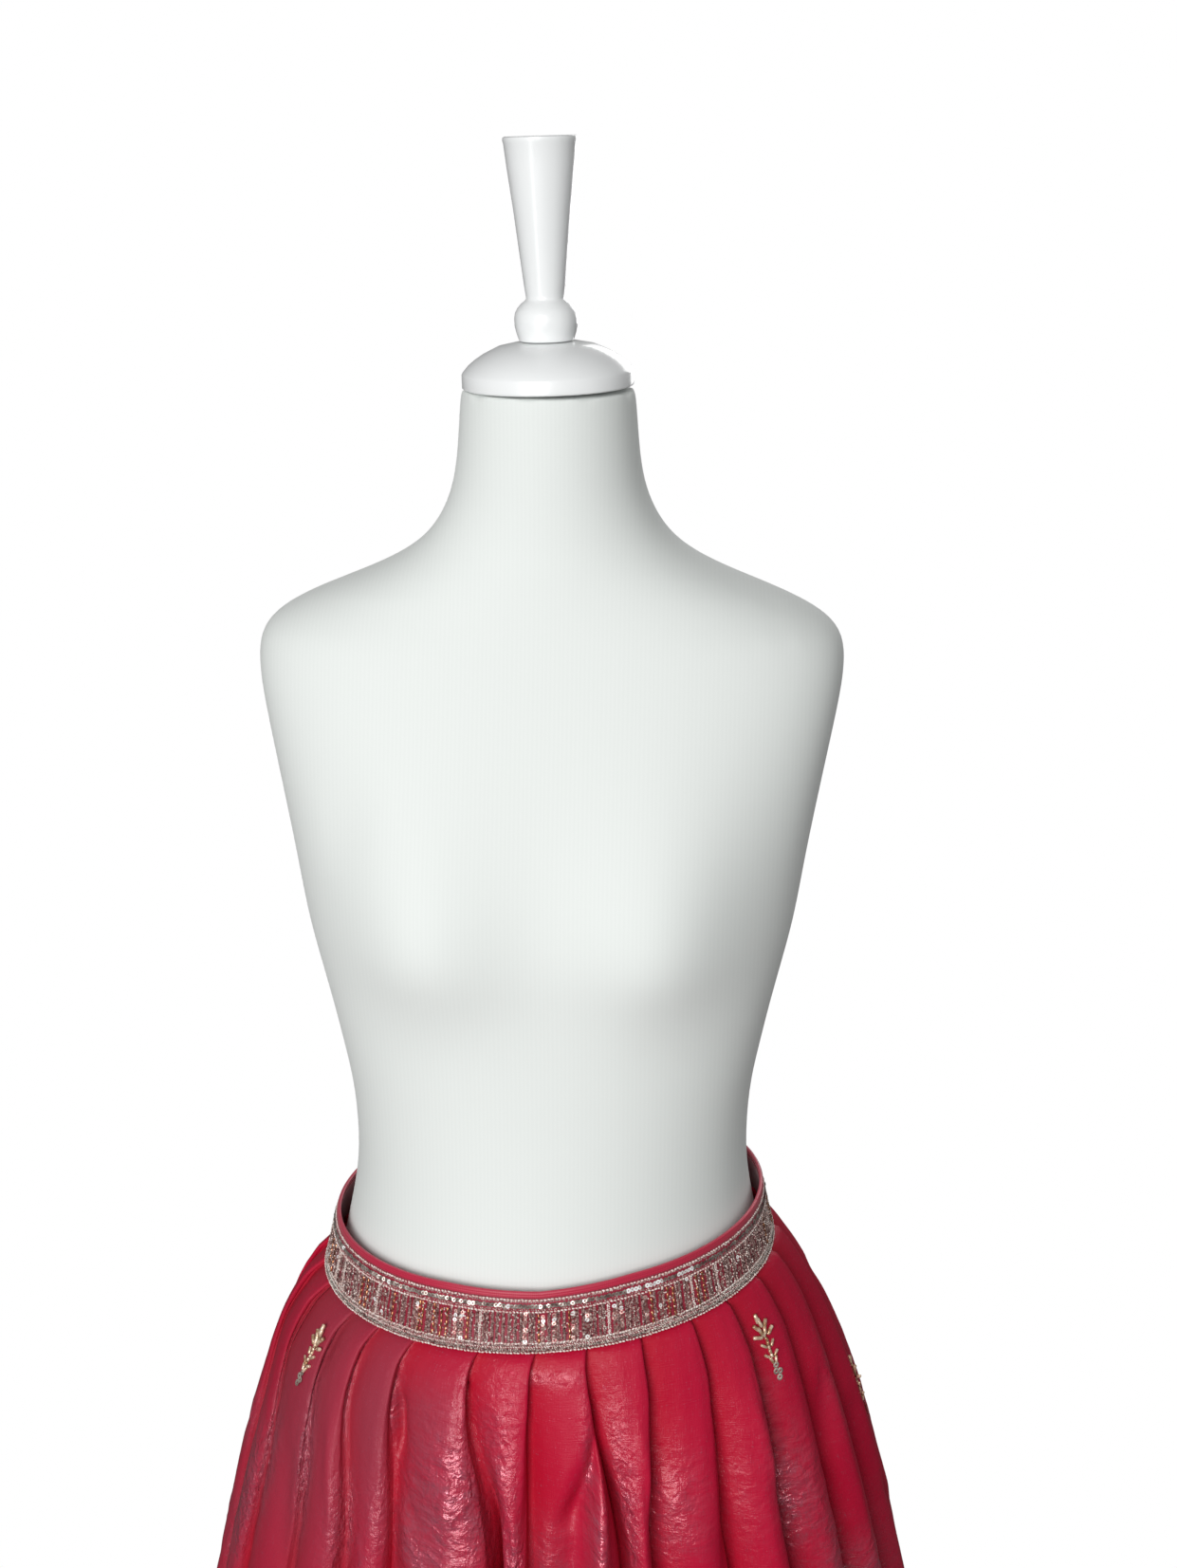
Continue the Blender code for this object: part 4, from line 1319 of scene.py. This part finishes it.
TAIL_PARTS = (
    SprigPart(tail_sequin, 0.0000, -0.0102, 0),
    SprigPart(tail_sequin, -0.0016, -0.0138, 0),
    SprigPart(tail_sequin, 0.0012, -0.0150, 0),
    SprigPart(tail_sequin, -0.0006, -0.0186, 0),
)
print(len(GOLD_PARTS), "beads and", len(TAIL_PARTS), "sequins in a sprig")

# %% All the sprigs
def embroider(parts, spots, rng):
    placed = []
    for spot in spots:
        ground = cloth_place(*spot)
        for part in parts:
            turn = Matrix.Rotation(math.radians(part.turn + rng.uniform(-8, 8)), 4, "Z")
            offset = Matrix.Translation((part.x, part.y, rng.uniform(0, 0.0004)))
            placed.append((part.shape, ground @ offset @ leaning(rng, 10) @ turn))
    return placed


gold_beads = embroider(GOLD_PARTS, spots, random.Random(5))
tail_sequins = embroider(TAIL_PARTS, spots, random.Random(6))
gold_piece = scattered("sprig_beads", gold_beads, SHARP_BEADS)
tail_piece = scattered("sprig_sequins", tail_sequins, SHARP_BEADS)

# %% [markdown]
# ## Materials
# Each one starts from what the real thing is made of, and its pattern is scaled from a real size. A
# shader's input that changes over the surface is linked, and one that doesn't is set on the shader itself.
#
# Tissue organza is a plain weave of crimson silk warp and a weft of flat metallic strip. It is deep red in a
# fold, where the red carries a painted glow of light through the cloth, and rosy on the crests. It is mauve
# where painted sheen is laid, and pale where it has been crushed and the strip lies flat, which is partly
# painted highlight. Its threads are about 0.2 mm apart, too fine to show, so they are drawn coarser, as slubs
# about 9 mm long and 0.7 mm high, and each scale below is a count of cells to the metre of flat cloth.

# %% Threads and crushed wisps of the organza
WEFT_CELLS = (110, 1500, 1)
WARP_CELLS = (900, 140, 1)
WISP_CELLS = (52, 130, 1)


def noise_on(tree, place, cells, **inputs):
    """Noise with its own count of cells to the metre along and across the cloth."""
    stretched = add_node(tree, "Mapping", Vector=place, Scale=cells)
    return add_node(tree, "TexNoise", Vector=stretched, Scale=1.0, **inputs)


def times(tree, first, second):
    return add_node(tree, "Math", {"operation": "MULTIPLY"}, i0=first, i1=second)


def ramp(tree, value, start, end, **inputs):
    """A soft step: a value from start to end made one from 0 to 1, or to To_Max."""
    return add_node(tree, "MapRange", {"interpolation_type": "SMOOTHSTEP"}, Value=value, From_Min=start,
                    From_Max=end, **inputs)


def two_threads(tree, flat):
    """High where a slub of the weft crosses one of the warp."""
    weft = noise_on(tree, flat, WEFT_CELLS, Detail=2.0, Roughness=0.55)
    warp = noise_on(tree, flat, WARP_CELLS, Detail=2.0, Roughness=0.5)
    return times(tree, weft, warp)


def crushed_wisps(tree, flat, crushed_here):
    """Slanting wisps in the crushed places, where the metal strip lies flat; their pale colour is partly
    painted highlight.
    """
    wisp = noise_on(tree, flat, WISP_CELLS, Detail=7.0, Roughness=0.62, Distortion=1.2)
    return times(tree, ramp(tree, wisp, 0.30, 0.74, To_Min=0.35), crushed_here)


print("threads", [round(1000 / cells, 1) for cells in WEFT_CELLS[:2]], "mm and wisps",
      [round(1000 / cells, 1) for cells in WISP_CELLS[:2]], "mm")

# %% [markdown]
# Crushed organza is a net of small flat facets with sharp edges between them, not waves. Voronoi cells
# measured along the two axes give such facets, and slow noise bends their edges. Real ones are a few
# millimetres wide, and they are drawn about 13 mm and 5 mm long, so that they show.

# %% Facets of the crushed organza
FACET_CELLS, FACET_TURN = (75, 150, 1), math.radians(24)
SMALL_CELLS, SMALL_TURN = (190, 330, 1), math.radians(-38)
WARP_CREASES = (0.016, 0.010, 0.0)


def facet_net(tree, place, cells, turn):
    turned_map = add_node(tree, "Mapping", Vector=place, Rotation=(0, 0, turn), Scale=cells)
    return add_node(tree, "TexVoronoi", {"distance": "CHEBYCHEV"}, Vector=turned_map, Scale=1.0)


def crumple_bump(tree, flat, crushed_here):
    """The relief of the facets, strong in crushed places and faint elsewhere."""
    slow = add_node(tree, "TexNoise", Vector=flat, Scale=60.0, Detail=3.0).node.outputs["Color"]
    bent = add_node(tree, "VectorMath", {"operation": "MULTIPLY_ADD"}, i0=slow, i1=WARP_CREASES, i2=flat)
    facets = facet_net(tree, bent, FACET_CELLS, FACET_TURN)
    small = facet_net(tree, bent, SMALL_CELLS, SMALL_TURN)
    crumple = add_node(tree, "Math", {"operation": "MULTIPLY_ADD"}, i0=small, i1=0.4, i2=facets)
    much = add_node(tree, "Math", {"operation": "MULTIPLY_ADD"}, i0=crushed_here, i1=0.94, i2=0.06)
    return add_node(tree, "Bump", Strength=1.0, Distance=0.0021, Height=times(tree, crumple, much))


print("facets", [round(1000 / cells) for cells in FACET_CELLS[:2]], "and",
      [round(1000 / cells) for cells in SMALL_CELLS[:2]], "mm")

# %% Tissue organza
# The valley red is a painted glow of light through the cloth, the mauve is painted sheen, and the pale strip
# is partly painted highlight.
VALLEY_PAINTED_GLOW_RED, CREST_RED = "#B40826", "#B80C34"
PAINTED_SHEEN_MAUVE, PALE_STRIP_AND_PAINTED_HIGHLIGHT = "#6E4650", "#B65A70"


def tissue_organza():
    made, tree, shader = new_material("crushed tissue organza")
    flat = add_node(tree, "UVMap", {"uv_map": "flat_cloth"})
    # The third attribute is the painted sheen.
    crest_here, crushed_here, painted_sheen_here = [
        add_node(tree, "Attribute", {"attribute_name": name}).node.outputs["Fac"]
        for name in ("crest", "crushed", "painted_sheen")]
    body = add_node(tree, "TexCoord").node.outputs["Object"]
    threads = two_threads(tree, flat)
    wisp = crushed_wisps(tree, flat, crushed_here)

    slow = add_node(tree, "TexNoise", Vector=body, Scale=5.5, Detail=2.0)
    faint = ramp(tree, slow, 0.36, 0.68, To_Max=0.06)
    # The pale strip colour in the crushed wisps is partly the metal strip and partly painted highlight.
    strip_and_painted_highlight = times(tree, add_node(tree, "Math", {"operation": "MAXIMUM"}, i0=faint, i1=wisp), threads)
    metal = add_node(tree, "MapRange", Value=strip_and_painted_highlight, From_Min=0.0, From_Max=0.36)
    glint = ramp(tree, threads, 0.33, 0.44, To_Max=0.45)
    metal = add_node(tree, "Math", {"operation": "MAXIMUM"}, i0=metal, i1=glint)

    # Painted glow: the valleys get their own red, standing in for light through the thin cloth.
    red_with_painted_glow = blend(tree, crest_here, to_linear(VALLEY_PAINTED_GLOW_RED), to_linear(CREST_RED))
    # Painted sheen: mauve laid over the red where the sheen places lie.
    red_under_painted_sheen = blend(tree, times(tree, painted_sheen_here, 0.55), red_with_painted_glow, to_linear(PAINTED_SHEEN_MAUVE))
    smooth = add_node(tree, "Math", {"operation": "MULTIPLY_ADD"}, i0=crushed_here, i1=-0.12, i2=0.44)
    weft_way = add_node(tree, "Tangent", {"direction_type": "UV_MAP", "uv_map": "flat_cloth"})
    soft = crumple_bump(tree, flat, crushed_here)
    fine = add_node(tree, "Bump", Strength=0.6, Distance=0.0006, Height=threads, Normal=soft)
    set_inputs(tree, shader, Base_Color=blend(tree, metal, red_under_painted_sheen, to_linear(PALE_STRIP_AND_PAINTED_HIGHLIGHT)),
               Metallic=times(tree, metal, 0.7), Roughness=smooth, Specular_IOR_Level=0.14, Anisotropic=0.45,
               Tangent=weft_way, Normal=fine, Coat_Weight=times(tree, wisp, 0.85), Coat_IOR=1.8,
               Coat_Roughness=0.12, Coat_Normal=fine)
    return made


organza = tissue_organza()
for panel, width in panels:
    panel.data.materials.append(organza)
print("organza on", len(panels), "widths")

# %% [markdown]
# Metal and glass trims: zari is silver-grey and a little tarnished, sequins are thin mirror-like plastic
# film, and the bugles are clear glass over a gold or rose-gold lining, so they shine like metal. The tone
# wanders between two colours from one piece of work to the next, and the pitch is that of the strip's turns
# or the film's ripple.

# %% Trim materials
def metal_trim(name, colours, roughness, metallic, pitch_mm, bump):
    """A metallic finish whose colour wanders between two tones."""
    made, tree, shader = new_material(name)
    place = add_node(tree, "TexCoord").node.outputs["Object"]
    wander = add_node(tree, "TexNoise", Vector=place, Scale=1000 / (pitch_mm * 3), Detail=2.0)
    spread = add_node(tree, "MapRange", Value=wander, From_Min=0.35, From_Max=0.65)
    ripple = add_node(tree, "TexNoise", Vector=place, Scale=1000 / pitch_mm, Detail=2.0)
    relief = add_node(tree, "Bump", Strength=bump, Distance=0.0003, Height=ripple)
    mix = blend(tree, spread, to_linear(colours[0]), to_linear(colours[1]))
    set_inputs(tree, shader, Base_Color=mix, Metallic=metallic, Roughness=roughness, Normal=relief)
    return made


TRIM_FINISHES = (
    (border_piece, "wound zari cord", ("#463C38", "#EADFD4"), 0.30, 0.6, 0.5, 0.5),
    (ladder_piece, "tarnished zari cord", ("#5A3030", "#DCC0B8"), 0.32, 0.7, 0.5, 0.5),
    (pale_piece, "pale pink zari thread", ("#D8B4AA", "#FFFCF6"), 0.34, 0.15, 0.5, 0.4),
    (smoked_piece, "smoked silver sequin film", ("#7E746C", "#DAD0C6"), 0.28, 0.7, 1.0, 0.1),
    (sequin_piece, "rose sequin film", ("#8E5A58", "#DDB8AE"), 0.34, 0.75, 1.0, 0.2),
    # Its white also gives the ladder's painted glints.
    (white_piece, "pearl white sequin film", ("#F2F0EC", "#FFFFFF"), 0.30, 0.1, 2.5, 0.1),
    (tail_piece, "champagne sequin film", ("#C9A79C", "#F2E2D4"), 0.18, 0.8, 2.5, 0.1),
    (bead_piece, "rose gold lined bugle glass", ("#8E5A40", "#D69A72"), 0.18, 0.8, 1.8, 0.15),
    (gold_piece, "antique gold bugle glass", ("#A87C58", "#FAE0C6"), 0.30, 0.45, 1.2, 0.15),
)
for piece, *finish in TRIM_FINISHES:
    piece.data.materials.append(metal_trim(*finish))
print(len(TRIM_FINISHES), "trims dressed")

# %% [markdown]
# The band's silk and the facing's satin are fine plain weaves. Their threads are drawn 1.4 and 1.2 mm
# apart, several times coarser than real. The form's cover is a fine jersey, with upright ribs of stitches
# over a soft mottle. Its ribs are drawn 2.6 mm apart, about twice as coarse as real.

# %% Band silk and satin lip
# At scale 1 a band of the wave texture is 314 mm wide.
WAVE_MM = 100 * math.pi


def woven_cloth(name, low, high, thread_mm, roughness, sheen, bump):
    """Plain woven cloth on its own flat map."""
    made, tree, shader = new_material(name)
    flat = add_node(tree, "UVMap", {"uv_map": "flat_cloth"})
    across, along = [
        add_node(tree, "TexWave", {"bands_direction": way}, Vector=flat, Scale=WAVE_MM / thread_mm,
                 Distortion=0.6, Detail=2.0).node.outputs["Fac"] for way in ("X", "Y")]
    weave = times(tree, across, along)
    relief = add_node(tree, "Bump", Strength=bump, Distance=0.0002, Height=weave)
    set_inputs(tree, shader, Base_Color=blend(tree, weave, to_linear(low), to_linear(high)),
               Roughness=roughness, Sheen_Weight=sheen, Normal=relief)
    return made


band_cloth.data.materials.append(woven_cloth("crimson band silk", "#880E28", "#AE2646", 1.381, 0.45, 0.2, 0.5))
lip.data.materials.append(woven_cloth("crimson satin facing", "#AE1636", "#CC3052", 1.1838, 0.42, 0.15, 0.35))
print("band silk and satin lip dressed")

# %% Jersey of the form
RIB_MM = 2.565


def knit_jersey():
    made, tree, shader = new_material("off-white knit jersey")
    place = add_node(tree, "TexCoord").node.outputs["Object"]
    upright_map = add_node(tree, "Mapping", Vector=place, Scale=(1, 0.35, 0))
    ribs = add_node(tree, "TexWave", {"bands_direction": "X"}, Vector=upright_map,
                    Scale=WAVE_MM / RIB_MM, Distortion=0.4, Detail=1.0).node.outputs["Fac"]
    cotton = add_node(tree, "TexNoise", Vector=place, Scale=450.0, Detail=2.0)
    height = add_node(tree, "Math", {"operation": "ADD"}, i0=ribs, i1=cotton)
    relief = add_node(tree, "Bump", Strength=0.03, Distance=0.0002, Height=height)
    set_inputs(tree, shader, Base_Color=blend(tree, ribs, to_linear("#E4E8E5"), to_linear("#E6EAE7")),
               Roughness=0.85, Sheen_Weight=0.15, Normal=relief)
    return made


torso.data.materials.append(knit_jersey())
print("torso in", torso.data.materials[0].name)

# %% [markdown]
# The cap and finial are enamelled wood, brushed on and glossy. The board, pole and foot are matter paint
# and powder coat. All share one finish: a smooth coat with the faintest ripple, which softens its
# reflections.

# %% Gloss paint
def gloss_paint(name, colour, roughness, brush):
    made, tree, shader = new_material(name)
    place = add_node(tree, "TexCoord").node.outputs["Object"]
    ripple = add_node(tree, "TexNoise", Vector=place, Scale=90.0, Detail=2.0)
    grain = add_node(tree, "MapRange", Value=ripple, To_Min=roughness - 0.05, To_Max=roughness + 0.08)
    relief = add_node(tree, "Bump", Strength=brush, Distance=0.0004, Height=ripple)
    set_inputs(tree, shader, Base_Color=to_linear(colour), Roughness=grain, Normal=relief, Coat_Weight=0.5,
               Coat_Roughness=0.12)
    return made


white_enamel = gloss_paint("white gloss enamel on turned wood", "#F3F5F5", 0.30, 0.08)
for piece in (cap, finial):
    piece.data.materials.append(white_enamel)
stand_finishes = {
    "form_board": gloss_paint("white painted board", "#DEDEDA", 0.55, 0.2),
    "stand_pole": gloss_paint("white powder coat", "#E4E5E5", 0.40, 0.15),
    "stand_foot": gloss_paint("white powder coat on the foot", "#E4E5E5", 0.42, 0.2),
}
for node_name, finish in stand_finishes.items():
    for slot in bpy.data.objects[node_name].material_slots:
        slot.material = finish
print(len(bpy.data.materials), "materials")
